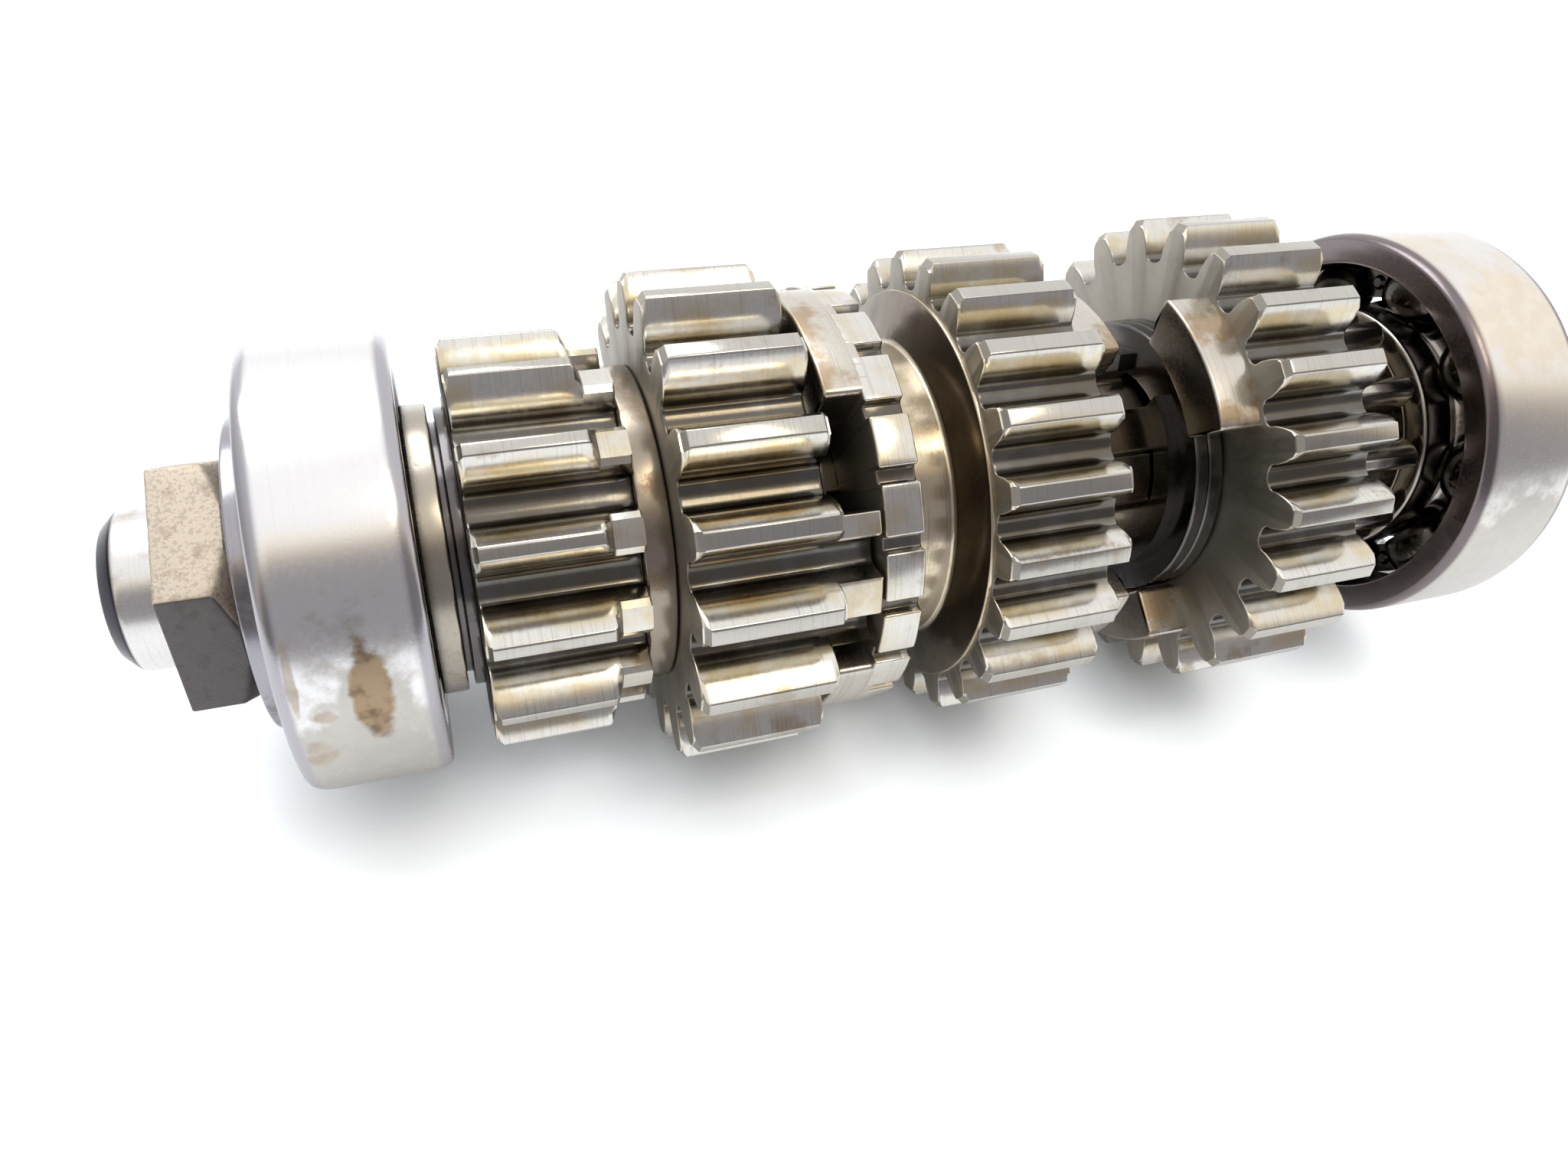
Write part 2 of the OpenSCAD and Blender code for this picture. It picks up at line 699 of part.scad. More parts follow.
module large_bearing_balls() {
    color(bright_steel) lay(x_large) ball_set(large_pitch_r, large_balls, large_w);
}

module large_bearing_cage_left() {
    color(dark_steel) lay(x_large) cage_half(large_pitch_r, large_balls, large_w, -1);
}

module large_bearing_cage_right() {
    color(dark_steel) lay(x_large) cage_half(large_pitch_r, large_balls, large_w, 1);
}

module large_bearing_rivets() {
    color(dark_steel) lay(x_large) cage_rivets(large_pitch_r, large_balls, large_w);
}

main_shaft();
lock_nut();
nut_washer();
small_bearing_inner_ring();
small_bearing_outer_ring();
small_bearing_balls();
small_bearing_cage_left();
small_bearing_cage_right();
small_bearing_rivets();
spacer_collar();
shim();
thrust_washer();
second_pinion();
mid_thrust_collar();
fifth_gear();
fifth_gear_bush();
fifth_gear_washer();
fifth_gear_circlip();
sliding_gear();
fourth_gear();
fourth_gear_bush();
fourth_gear_washer();
fourth_gear_lock_washer();
fourth_gear_circlip();
large_bearing_inner_ring();
large_bearing_outer_ring();
large_bearing_balls();
large_bearing_cage_left();
large_bearing_cage_right();
large_bearing_rivets();
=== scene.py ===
import math

import bmesh
import bpy
import numpy as np
from mathutils import Matrix, Vector


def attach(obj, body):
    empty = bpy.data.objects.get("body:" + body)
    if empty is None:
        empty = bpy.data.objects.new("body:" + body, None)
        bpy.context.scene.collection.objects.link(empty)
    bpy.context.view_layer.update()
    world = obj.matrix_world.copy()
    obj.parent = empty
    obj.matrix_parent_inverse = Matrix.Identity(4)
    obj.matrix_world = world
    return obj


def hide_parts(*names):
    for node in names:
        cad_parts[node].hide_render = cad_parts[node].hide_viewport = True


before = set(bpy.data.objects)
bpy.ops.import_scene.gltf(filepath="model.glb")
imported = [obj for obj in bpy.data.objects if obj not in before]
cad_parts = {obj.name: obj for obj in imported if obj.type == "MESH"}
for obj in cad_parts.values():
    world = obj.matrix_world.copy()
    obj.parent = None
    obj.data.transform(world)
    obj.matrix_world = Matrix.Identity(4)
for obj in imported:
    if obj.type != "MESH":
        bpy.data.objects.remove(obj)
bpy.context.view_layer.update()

MM = 0.001
FRAME_WIDTH_PX = 2048
SENSOR_MM = 36.0
CREASE_DEG = 32.0
WELD_M = 2e-7
PRESSURE_ANGLE = math.radians(20)
ROOT_HOLLOW = 0.45

# Places along the shaft, in millimetres from the middle of the small bearing
NUT_LEFT, NUT_RIGHT = -16.6, -9.4
STUB_END = -22.5
SMALL_LEFT, SMALL_RIGHT = -7.0, 7.0
COLLAR_RIGHT, SHIM_RIGHT = 9.7, 10.4
SECOND_LEFT, SECOND_RIGHT = 11.6, 28.05
MID_COLLAR_RIGHT = 31.2
FIFTH_LEFT, FIFTH_RIGHT = 31.35, 46.1
FIFTH_DOG_END = 50.8
RING_LEFT, GROOVE_LEFT, GROOVE_RIGHT = 51.2, 55.5, 62.5
THIRD_LEFT, THIRD_RIGHT = 63.598, 78.298
RIM_PROUD = 0.4
FOURTH_DOG_LEFT, FOURTH_LEFT, FOURTH_RIGHT = 92.198, 97.498, 111.398
FIRST_LEFT, FIRST_RIGHT = 111.548, 126.598
LARGE_LEFT, LARGE_RIGHT = 128.198, 143.198
SHAFT_END = 146.498
SPLINE_R, SPLINE_FLOOR_R = 12.2, 10.8
BALL_R = 3.97
CORNER_LONG, CORNER_DEEP = 2.2, 0.924


# ---------------------------------------------------------------- shapes

def soften(corners, radii, steps=5):
    """Closed outline with each corner rounded: between the points one radius before and after a
    corner runs the quadratic curve whose control point is that corner. A radius of 0 keeps it."""
    corners = np.asarray(corners, float)
    radii = np.broadcast_to(np.asarray(radii, float), len(corners))
    before = np.roll(corners, 1, axis=0) - corners
    after = np.roll(corners, -1, axis=0) - corners
    len_before = np.linalg.norm(before, axis=1)
    len_after = np.linalg.norm(after, axis=1)
    cut_before = np.minimum(radii, len_before * 0.49)
    cut_after = np.minimum(radii, len_after * 0.49)
    start = corners + before * (cut_before / len_before)[:, None]
    stop = corners + after * (cut_after / len_after)[:, None]
    t = np.linspace(0, 1, steps)[None, :, None]
    curve = ((1 - t) ** 2 * start[:, None] + 2 * t * (1 - t) * corners[:, None]
             + t ** 2 * stop[:, None])
    keep = (radii[:, None] > 0) | (np.arange(steps)[None, :] == 0)
    return curve[keep]


def polar(radius, angle):
    """Points at the given radii and turns about the shaft."""
    radius, angle = np.broadcast_arrays(np.asarray(radius, float), np.asarray(angle, float))
    return np.stack([radius * np.cos(angle), radius * np.sin(angle)], axis=-1)


def revolve(profile, around=160):
    """Rows of circles about the shaft: each profile point (place, radius) becomes one circle."""
    profile = np.asarray(profile, float)
    turn = np.linspace(0, 2 * np.pi, around, endpoint=False)
    place = np.repeat(profile[:, :1], around, axis=1)
    ring = profile[:, 1][:, None]
    return np.stack([place, ring * np.cos(turn), ring * np.sin(turn)], axis=-1)


def tooth_outline(teeth, module, root, tip, turn_deg, tip_round=0.22, root_round=0.9, flank_steps=5):
    """Spur gear outline: from each hollow root the involute of the base circle rises to the tip,
    both ends rounded. Half a tooth's angle is its angle at the pitch circle plus the involute of the
    pressure angle minus the involute of the angle whose cosine is base radius over radius."""
    pitch = teeth * module / 2
    base = pitch * math.cos(PRESSURE_ANGLE)
    radius = np.linspace(root + ROOT_HOLLOW, tip, flank_steps)
    slope = np.arccos(np.minimum(base / radius, 1))
    half = (math.pi / 2 / teeth + math.tan(PRESSURE_ANGLE) - PRESSURE_ANGLE
            - (np.tan(slope) - slope))
    radius = np.concatenate([radius, [tip], radius[::-1], [root]])
    angle = np.concatenate([-half, [0], half[::-1], [math.pi / teeth]])
    rounds = np.zeros(len(radius))
    rounds[[0, 2 * flank_steps, -1]] = root_round
    rounds[[flank_steps - 1, flank_steps + 1]] = tip_round
    centres = math.radians(turn_deg) + np.arange(teeth) * 2 * np.pi / teeth
    points = polar(np.tile(radius, teeth), (centres[:, None] + angle[None]).ravel())
    return soften(points, np.tile(rounds, teeth))


def outward(outline):
    """Unit normals of a closed outline that runs anticlockwise, from its central differences."""
    along = np.roll(outline, -1, axis=0) - np.roll(outline, 1, axis=0)
    normal = np.stack([along[:, 1], -along[:, 0]], axis=-1)
    return normal / np.maximum(np.linalg.norm(normal, axis=1, keepdims=True), 1e-9)


def carry(outline, stations, core=None):
    """Outline carried along the shaft. Each station (place, limit, inset, share) pulls it in by
    the inset, cuts it to the limit radius, and blends it by the share from the core to itself."""
    normal = outward(outline)
    stations = np.asarray(stations, float)
    rows = outline[None] - stations[:, 2, None, None] * normal[None]
    reach = np.linalg.norm(rows, axis=-1, keepdims=True)
    rows = rows * np.minimum(1, stations[:, 1, None, None] / np.maximum(reach, 1e-9))
    if core is None:
        core = np.zeros_like(outline)
    rows = core[None] + (rows - core[None]) * stations[:, 3, None, None]
    place = np.broadcast_to(stations[:, 0, None, None], rows.shape[:2] + (1,))
    return np.concatenate([place, rows], axis=-1)


def rounded_end(face, inward, edge, limit, steps=4):
    """Stations of a quarter-round edge, from the end face to the full outline. The place moves
    with one minus the sine, and the inset with one minus the cosine, of the quarter turn."""
    t = np.linspace(0, math.pi / 2, steps)
    return np.stack([face + inward * edge * (1 - np.cos(t)), np.full(steps, limit),
                     edge * (1 - np.sin(t)), np.ones(steps)], axis=-1)


def circle_core(outline, radius):
    """Point of a circle in line with each outline point."""
    turn = np.arctan2(outline[:, 1], outline[:, 0])
    return polar(radius, turn)


def toothed(outline, bore, stations):
    """Closed ring shell: the carried outline between its two end faces, closed over the bore."""
    core = circle_core(outline, bore)
    first, last = stations[0].copy(), stations[-1].copy()
    first[3] = last[3] = 0
    rows = np.vstack([[first], stations, [last]])
    return carry(outline, rows, core), True


def gear_stations(left, right, tip, chamfer_left, chamfer_right, edge=0.2):
    """Stations of a gear: rounded ends, with the tips cut to a cone over each chamfer."""
    low_left, low_right = tip - chamfer_left, tip - chamfer_right
    t = np.linspace(0, 1, 4)
    cone_left = np.stack([left + edge + t * chamfer_left * 0.8, low_left + t * (chamfer_left + 0.3),
                          0 * t, 0 * t + 1], axis=-1)
    cone_right = np.stack([right - edge - t * chamfer_right * 0.8,
                           low_right + t * (chamfer_right + 0.3), 0 * t, 0 * t + 1], axis=-1)
    mid = np.array([[(left + right) / 2, tip + 1, 0, 1]])
    return np.vstack([rounded_end(left, 1, edge, low_left), cone_left, mid, cone_right[::-1],
                      rounded_end(right, -1, edge, low_right)[::-1]])


def dog_outline(inner, outer, start_deg, angle_deg, corner=0.7):
    """Block between two turns: an inner arc and an outer arc, with rounded corners."""
    a = math.radians(start_deg)
    b = a + math.radians(angle_deg)
    arc = np.linspace(a, b, 13)
    points = np.vstack([polar(outer, arc), polar(inner, arc[::-1])])
    rounds = np.zeros(len(points))
    rounds[[0, 12, 13, 25]] = corner
    return soften(points, rounds)


def dog(outline, left, right, middle, free_left, edge=0.35):
    """Closed block shell: the outline carried from its root to a rounded free end, each end
    closed by drawing it in to the arc through its middle."""
    turn = np.arctan2(outline[:, 1], outline[:, 0])
    core = polar(middle, turn)
    free, root = (left, right) if free_left else (right, left)
    inward = 1 if free_left else -1
    free_end = rounded_end(free, inward, edge, 99)
    rows = np.vstack([[[free, 99, edge, 0]], free_end, [[root, 99, 0, 1]], [[root, 99, 0, 0]]])
    return carry(outline, rows, core), False


def turned(points, radii, around=160):
    """Closed shell of revolution of a section with rounded corners."""
    return revolve(soften(points, radii), around), True


def flat_ring(inner, outer, left, right, edge=0.3, around=160):
    """Washer or collar: a rectangle between two radii, its corners rounded, turned about X."""
    section = [(left, inner), (right, inner), (right, outer), (left, outer)]
    return turned(section, min(edge, (right - left) * 0.45), around)


def sphere_shell(centre, radius, rings=18, around=28):
    """Ball: latitude rings from pole to pole about its own X axis."""
    lat = np.linspace(0, np.pi, rings)[:, None]
    lon = np.linspace(0, 2 * np.pi, around, endpoint=False)[None]
    points = np.stack([np.cos(lat) + 0 * lon, np.sin(lat) * np.cos(lon), np.sin(lat) * np.sin(lon)],
                      axis=-1)
    return points * radius + np.asarray(centre), False


def skin(name, shells, body, nodes, finishes):
    """One mesh of closed shells, each with its finish. Neighbouring rows of each shell are joined
    by quads that wrap around, and by a last band to the first row where the shell is a loop."""
    if not isinstance(finishes, list):
        finishes = [finishes] * len(shells)
    palette = list(dict.fromkeys(finishes))
    points, quads, picks, count = [], [], [], 0
    for (grid, loop), finish in zip(shells, finishes):
        rows, around = grid.shape[:2]
        index = count + np.arange(rows * around).reshape(rows, around)
        upper = np.roll(index, -1, axis=0) if loop else index[1:]
        lower = index if loop else index[:-1]
        quads.append(np.stack([lower, np.roll(lower, -1, axis=1), np.roll(upper, -1, axis=1), upper],
                              axis=-1).reshape(-1, 4))
        points.append(grid.reshape(-1, 3))
        picks.append(np.full(len(quads[-1]), palette.index(finish)))
        count += rows * around
    points = np.concatenate(points) * MM
    quads = np.concatenate(quads)
    mesh = bpy.data.meshes.new(name)
    mesh.vertices.add(len(points))
    mesh.vertices.foreach_set("co", points.ravel())
    mesh.loops.add(quads.size)
    mesh.loops.foreach_set("vertex_index", quads.ravel())
    mesh.polygons.add(len(quads))
    mesh.polygons.foreach_set("loop_start", np.arange(0, quads.size, 4))
    mesh.polygons.foreach_set("material_index", np.concatenate(picks))
    mesh.update(calc_edges=True)
    work = bmesh.new()
    work.from_mesh(mesh)
    bmesh.ops.remove_doubles(work, verts=work.verts, dist=WELD_M)
    bmesh.ops.dissolve_degenerate(work, edges=work.edges, dist=WELD_M)
    bmesh.ops.recalc_face_normals(work, faces=work.faces)
    work.to_mesh(mesh)
    work.free()
    mesh.polygons.foreach_set("use_smooth", np.ones(len(mesh.polygons), bool))
    mesh.set_sharp_from_angle(angle=math.radians(CREASE_DEG))
    for finish in palette:
        mesh.materials.append(finish)
    piece = bpy.data.objects.new(name, mesh)
    bpy.context.scene.collection.objects.link(piece)
    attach(piece, body)
    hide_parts(*nodes)
    return piece


# ---------------------------------------------------------------- finishes

class Finish:
    """Node tree of one material, with short calls for the nodes that the finishes share."""

    def __init__(self, name):
        self.material = bpy.data.materials.new(name)
        self.material.use_nodes = True
        self.nodes = self.material.node_tree.nodes
        self.links = self.material.node_tree.links
        self.shader = self.nodes["Principled BSDF"]
        self.object = self.nodes.new("ShaderNodeTexCoord").outputs["Object"]

    def link(self, value, socket):
        if isinstance(value, bpy.types.NodeSocket):
            self.links.new(value, socket)
        else:
            socket.default_value = value

    def math(self, operation, a, b=0.0, c=0.0, clamp=False):
        node = self.nodes.new("ShaderNodeMath")
        node.operation = operation
        node.use_clamp = clamp
        for value, socket in zip((a, b, c), node.inputs):
            self.link(value, socket)
        return node.outputs[0]

    def mix(self, amount, a, b):
        node = self.nodes.new("ShaderNodeMix")
        node.data_type = "RGBA"
        self.link(amount, node.inputs[0])
        self.link(a if isinstance(a, bpy.types.NodeSocket) else (*a, 1), node.inputs[6])
        self.link(b if isinstance(b, bpy.types.NodeSocket) else (*b, 1), node.inputs[7])
        return node.outputs[2]

    def step(self, value, low, high):
        """Smooth step of a value from 0 at low to 1 at high."""
        node = self.nodes.new("ShaderNodeMapRange")
        node.interpolation_type = "SMOOTHSTEP"
        self.link(value, node.inputs["Value"])
        self.link(low, node.inputs["From Min"])
        self.link(high, node.inputs["From Max"])
        return node.outputs[0]

    def noise(self, vector, scale, detail=3.0, rough=0.55):
        node = self.nodes.new("ShaderNodeTexNoise")
        node.inputs["Scale"].default_value = scale
        node.inputs["Detail"].default_value = detail
        node.inputs["Roughness"].default_value = rough
        self.link(vector, node.inputs["Vector"])
        return node.outputs["Fac"]

    def stretch(self, vector, x, y, z):
        node = self.nodes.new("ShaderNodeVectorMath")
        node.operation = "MULTIPLY"
        self.link(vector, node.inputs[0])
        node.inputs[1].default_value = (x, y, z)
        return node.outputs[0]

    def around(self):
        """Place along the shaft, distance from its axis, and the unit vector of the turn."""
        split = self.nodes.new("ShaderNodeSeparateXYZ")
        self.link(self.object, split.inputs[0])
        x, y, z = split.outputs
        radius = self.math("SQRT", self.math("ADD", self.math("MULTIPLY", y, y),
                                             self.math("MULTIPLY", z, z)))
        safe = self.math("MAXIMUM", radius, 1e-5)
        return x, radius, self.math("DIVIDE", y, safe), self.math("DIVIDE", z, safe)

    def combine(self, x, y, z):
        node = self.nodes.new("ShaderNodeCombineXYZ")
        for value, socket in zip((x, y, z), node.inputs):
            self.link(value, socket)
        return node.outputs[0]

    def bump(self, height, strength, distance):
        node = self.nodes.new("ShaderNodeBump")
        node.inputs["Strength"].default_value = strength
        node.inputs["Distance"].default_value = distance
        self.link(height, node.inputs["Height"])
        self.link(node.outputs[0], self.shader.inputs["Normal"])

    def facing(self, turn=None):
        """How far the surface faces along the shaft, or square to it at a turn: 1 is straight."""
        normal = self.nodes.new("ShaderNodeNewGeometry").outputs["True Normal"]
        split = self.nodes.new("ShaderNodeSeparateXYZ")
        self.link(normal, split.inputs[0])
        if turn is None:
            return split.outputs[0]
        return self.math("ADD", self.math("MULTIPLY", split.outputs[1], math.cos(turn)),
                         self.math("MULTIPLY", split.outputs[2], math.sin(turn)))

    def spot(self, place, turn_deg, half_long, half_round, radius):
        """Mask of one patch on a ring, used for stains and for painted shade: 1 within an ellipse
        about a place and a turn, whose border wanders with the noise."""
        x, _, cos_turn, sin_turn = self.around()
        turn = math.radians(turn_deg)
        across = self.math("DIVIDE", self.math("SUBTRACT", x, place * MM), half_long * MM)
        side = self.math("SUBTRACT", self.math("MULTIPLY", sin_turn, math.cos(turn)),
                         self.math("MULTIPLY", cos_turn, math.sin(turn)))
        along = self.math("MULTIPLY", side, radius / half_round)
        front = self.math("ADD", self.math("MULTIPLY", cos_turn, math.cos(turn)),
                          self.math("MULTIPLY", sin_turn, math.sin(turn)))
        reach = self.math("SQRT", self.math("ADD", self.math("MULTIPLY", across, across),
                                            self.math("MULTIPLY", along, along)))
        ragged = self.math("ADD", reach, self.math("MULTIPLY", self.noise(self.object, 380.0, 4.0), 1.1))
        return self.math("MULTIPLY", self.step(ragged, 1.68, 1.30), self.step(front, 0.0, 0.2))


def steel(name, clean, stain, dark, stain_share, rough, turned_lines=0.35, along_lines=0.0,
          teeth=None, pits=0.15, stain_scale=140.0, face=None, face_rough=0.0, corner=None, spots=(),
          spot_radius=23.5, shade=None, grain=0.0):
    """Worn steel: clean metal under an oil stain whose patches come from noise, with tool marks
    that run around or along the shaft. Between the root and tip radius of teeth it turns to a
    golden film with a painted warm sheen on the flanks, and to dark oil with painted shade at
    the root; a face colour, oil with painted shade, covers flat ends. Spots add stains and
    patches of painted shade, the shade colour is painted shade on the side turned to a given
    turn, and the corner colour is a painted dark reflection on rounded edges and end faces."""
    f = Finish(name)
    x, radius, cos_turn, sin_turn = f.around()
    patches = f.noise(f.object, stain_scale, 4.0, 0.6)
    fine = f.noise(f.object, 2600.0, 2.0, 0.6)
    end = f.step(f.math("ABSOLUTE", f.facing()), 0.55, 0.9)
    height = f.math("MULTIPLY_ADD", end, radius, x)
    rings = f.noise(f.combine(f.math("MULTIPLY", height, 4200.0), f.math("MULTIPLY", cos_turn, 1.3),
                              f.math("MULTIPLY", sin_turn, 1.3)), 1.0, 4.0, 0.7)
    strokes = f.noise(f.stretch(f.object, 0.03, 1.0, 1.0), 2600.0, 3.0, 0.6)
    marks = f.math("ADD", f.math("MULTIPLY", rings, turned_lines),
                   f.math("MULTIPLY", strokes, along_lines))
    low = 0.64 - 0.26 * stain_share
    cover = f.step(f.math("ADD", patches, f.math("MULTIPLY", f.math("SUBTRACT", fine, 0.5), 0.10)),
                   low, low + 0.13)
    colour = f.mix(cover, clean, stain)
    if grain:
        colour = f.mix(f.math("MULTIPLY", f.step(fine, 0.52, 0.40), grain), colour, dark)
    streak = f.math("MULTIPLY", f.step(rings, 0.50, 0.72), turned_lines, clamp=True)
    colour = f.mix(streak, colour, dark)
    polish = f.math("ADD", rough, f.math("ADD", f.math("MULTIPLY", cover, 0.07),
                                         f.math("MULTIPLY", f.math("SUBTRACT", fine, 0.5), 0.16)))
    if teeth:
        root, tip, film_and_sheen = teeth
        wander = f.math("ADD", radius, f.math("MULTIPLY", f.math("SUBTRACT", patches, 0.5),
                                              (tip - root) * 0.55 * MM))
        # Golden flanks: oil film with a painted warm sheen.
        flank = f.step(wander, (tip - 0.15) * MM, (tip - (tip - root) * 0.35) * MM)
        flank_colour = f.mix(f.step(patches, 0.40, 0.62), film_and_sheen, clean)
        colour = f.mix(f.math("MULTIPLY", flank, 0.65), colour, flank_colour)
        # Towards the root the teeth darken: oil with painted shade in the gaps.
        depth = f.step(wander, (root + (tip - root) * 0.62) * MM, (root + (tip - root) * 0.02) * MM)
        colour = f.mix(f.math("MULTIPLY", depth, 0.88), colour, dark)
        land = f.step(radius, (tip - 0.25) * MM, (tip - 0.05) * MM)
        colour = f.mix(f.math("MULTIPLY", land, 0.6), colour, LAND_GREY)
    for place, turn_deg, half_long, half_round, strength, tones in spots:
        mask = f.spot(place, turn_deg, half_long, half_round, spot_radius)
        mottle = f.mix(f.step(f.noise(f.object, 420.0, 3.0), 0.38, 0.62), *tones)
        colour = f.mix(f.math("MULTIPLY", mask, strength), colour, mottle)
        polish = f.math("ADD", polish, f.math("MULTIPLY", mask, 0.1))
    # Painted shade: facets turned towards the shade turn take the shade colour.
    if shade:
        shade_turn, painted_shade_colour = shade
        lower = f.step(f.facing(math.radians(shade_turn)), 0.4, 0.6)
        colour = f.mix(lower, colour, painted_shade_colour)
    # Flat ends darken: oil film with painted shade.
    if face:
        face_oil_and_shade = f.math("MULTIPLY", end, f.math("ADD", 0.62, f.math("MULTIPLY", patches, 0.6)), clamp=True)
        colour = f.mix(face_oil_and_shade, colour, face)
        polish = f.math("MULTIPLY_ADD", end, face_rough, polish)
    # Painted dark reflection on rounded outer edges and the end faces within them.
    if corner:
        edge_radius, edge_reflection_colour = corner
        rounded = f.step(radius, (edge_radius - 0.02) * MM, (edge_radius - 0.16) * MM)
        colour = f.mix(rounded, colour, edge_reflection_colour)
    f.link(colour, f.shader.inputs["Base Color"])
    f.shader.inputs["Metallic"].default_value = 1.0
    f.link(f.math("MAXIMUM", polish, 0.07), f.shader.inputs["Roughness"])
    pit = f.step(f.noise(f.object, 1500.0, 2.0, 0.5), 0.70, 0.64)
    f.bump(f.math("ADD", marks, f.math("MULTIPLY", pit, pits)), 0.3, 0.00003)
    return f.material


BROWN, UMBER, SOOT = (0.40, 0.30, 0.19), (0.12, 0.09, 0.065), (0.035, 0.03, 0.028)
GOLD = (0.62, 0.50, 0.28)
STEEL_GREY = (0.70, 0.685, 0.65)
LAND_GREY = (0.40, 0.375, 0.335)

# The stub's dark end face and chamfer colour is a painted dark reflection.
stub_bright = steel("bright_stub_steel", (0.74, 0.72, 0.71), (0.56, 0.52, 0.48), (0.36, 0.32, 0.30), 0.35,
                    0.26, 0.2, corner=(8.4, (0.04, 0.035, 0.045)))
# Dark splined shaft and journal: oil with painted shade between the gears.
shaft_oil_and_shade = steel("oily_shaft_steel_and_painted_shade", (0.20, 0.17, 0.13), UMBER, (0.02, 0.018, 0.016), 0.5, 0.16, 0.3)
# The nut's shade colour is painted shade on the facets turned down to the front; its pits and grain are real.
nut_steel = steel("pitted_nut_steel", (0.62, 0.55, 0.46), (0.54, 0.47, 0.39), (0.36, 0.31, 0.26), 0.4,
                  0.62, 0.0, 0.0, pits=4.0, stain_scale=600.0, shade=(200.0, (0.165, 0.152, 0.152)), grain=0.55)
thread_dark = steel("dark_thread_steel", (0.30, 0.28, 0.26), UMBER, SOOT, 0.5, 0.35, 0.1)
RUST = ((0.16, 0.09, 0.045), (0.36, 0.25, 0.14))
PALE_RUST = ((0.40, 0.33, 0.25), (0.52, 0.45, 0.36))
STRAW = ((0.74, 0.62, 0.45), (0.80, 0.71, 0.56))
PAINTED_SHADE_TONES = ((0.48, 0.455, 0.42), (0.51, 0.485, 0.45))
# The first ring patch, low at the front, is painted shade; the rust patches are real stains.
RING_STAINS_AND_SHADE = ((0.0, 197.0, 8.0, 17.0, 0.9, PAINTED_SHADE_TONES), (1.2, 166.0, 1.7, 5.6, 0.88, RUST),
               (-3.1, 170.3, 1.2, 0.8, 0.7, PALE_RUST), (-4.3, 183.0, 1.6, 2.2, 0.6, PALE_RUST),
               (-5.3, 160.0, 0.5, 4.2, 0.7, PALE_RUST))
# The small ring's lilac-grey corner colour is a painted dark reflection.
ring_steel = steel("ground_ring_steel", (0.80, 0.79, 0.80), (0.74, 0.71, 0.69), (0.60, 0.57, 0.56), 0.25,
                   0.20, 0.12, stain_scale=50.0, corner=(23.5, (0.43, 0.415, 0.44)), spots=RING_STAINS_AND_SHADE)
# Far ring: the patch in painted shade tones, low at the front, is painted shade; its dark face is oil with painted
# shade.
far_ring_steel = steel("oiled_ring_steel_painted_shade", (0.76, 0.73, 0.71), (0.72, 0.64, 0.52), (0.50, 0.45, 0.38), 0.5,
                       0.23, 0.12, stain_scale=34.0, face=(0.06, 0.05, 0.048),
                       corner=(26.0, (0.20, 0.17, 0.175)), spot_radius=26.0,
                       spots=((137.0, 196.0, 14.0, 17.0, 0.8, PAINTED_SHADE_TONES), (136.5, 112.0, 9.0, 7.0, 0.55, STRAW)))
race_steel = steel("oily_race_steel", (0.36, 0.33, 0.30), UMBER, SOOT, 0.4, 0.16, 0.3)
collar_steel = steel("oiled_collar_steel", (0.41, 0.375, 0.32), (0.32, 0.27, 0.21), BROWN, 0.4, 0.24, 0.08, pits=0.0)
brown_collar = steel("brown_collar_steel", (0.33, 0.285, 0.23), (0.24, 0.185, 0.13), BROWN, 0.5, 0.22, 0.08,
                     pits=0.0)
# Near-black washers: oil with painted shade in the narrow gaps between parts.
washer_dark = steel("dark_washer_steel", (0.13, 0.12, 0.12), (0.07, 0.06, 0.06), SOOT, 0.4, 0.16, 0.2)
washer_grey = steel("grey_washer_steel", (0.36, 0.35, 0.38), (0.24, 0.22, 0.23), SOOT, 0.4, 0.20, 0.2)
ball_polish = steel("oily_ball_steel", (0.46, 0.42, 0.36), (0.24, 0.18, 0.11), (0.08, 0.06, 0.04), 0.4,
                    0.10, 0.0, pits=0.0)
# The large bearing's near-black balls are oil with painted shade; the small bearing's balls use the brighter finish.
ball_oil_and_shade = steel("oiled_ball_painted_shade", (0.08, 0.07, 0.06), (0.05, 0.04, 0.03), (0.02, 0.018, 0.016), 0.4,
                   0.09, 0.0, pits=0.0)
# Near-black cages and rivets: oil with painted shade in the ball rows.
cage_sheet = steel("dark_cage_sheet", (0.07, 0.062, 0.055), (0.04, 0.034, 0.03), (0.015, 0.015, 0.014), 0.5,
                   0.15, 0.1)
clip_black = steel("black_clip_steel", (0.14, 0.13, 0.12), (0.07, 0.06, 0.05), (0.02, 0.02, 0.02), 0.5,
                   0.22, 0.1)
bush_bronze = steel("oiled_bush_bronze", (0.34, 0.24, 0.12), (0.18, 0.12, 0.06), (0.04, 0.03, 0.02), 0.5,
                    0.20, 0.4)
GEAR = dict(clean=STEEL_GREY, stain=(0.50, 0.44, 0.35), dark=(0.065, 0.06, 0.055), stain_share=0.3,
            rough=0.17, turned_lines=0.28, face_rough=0.3)
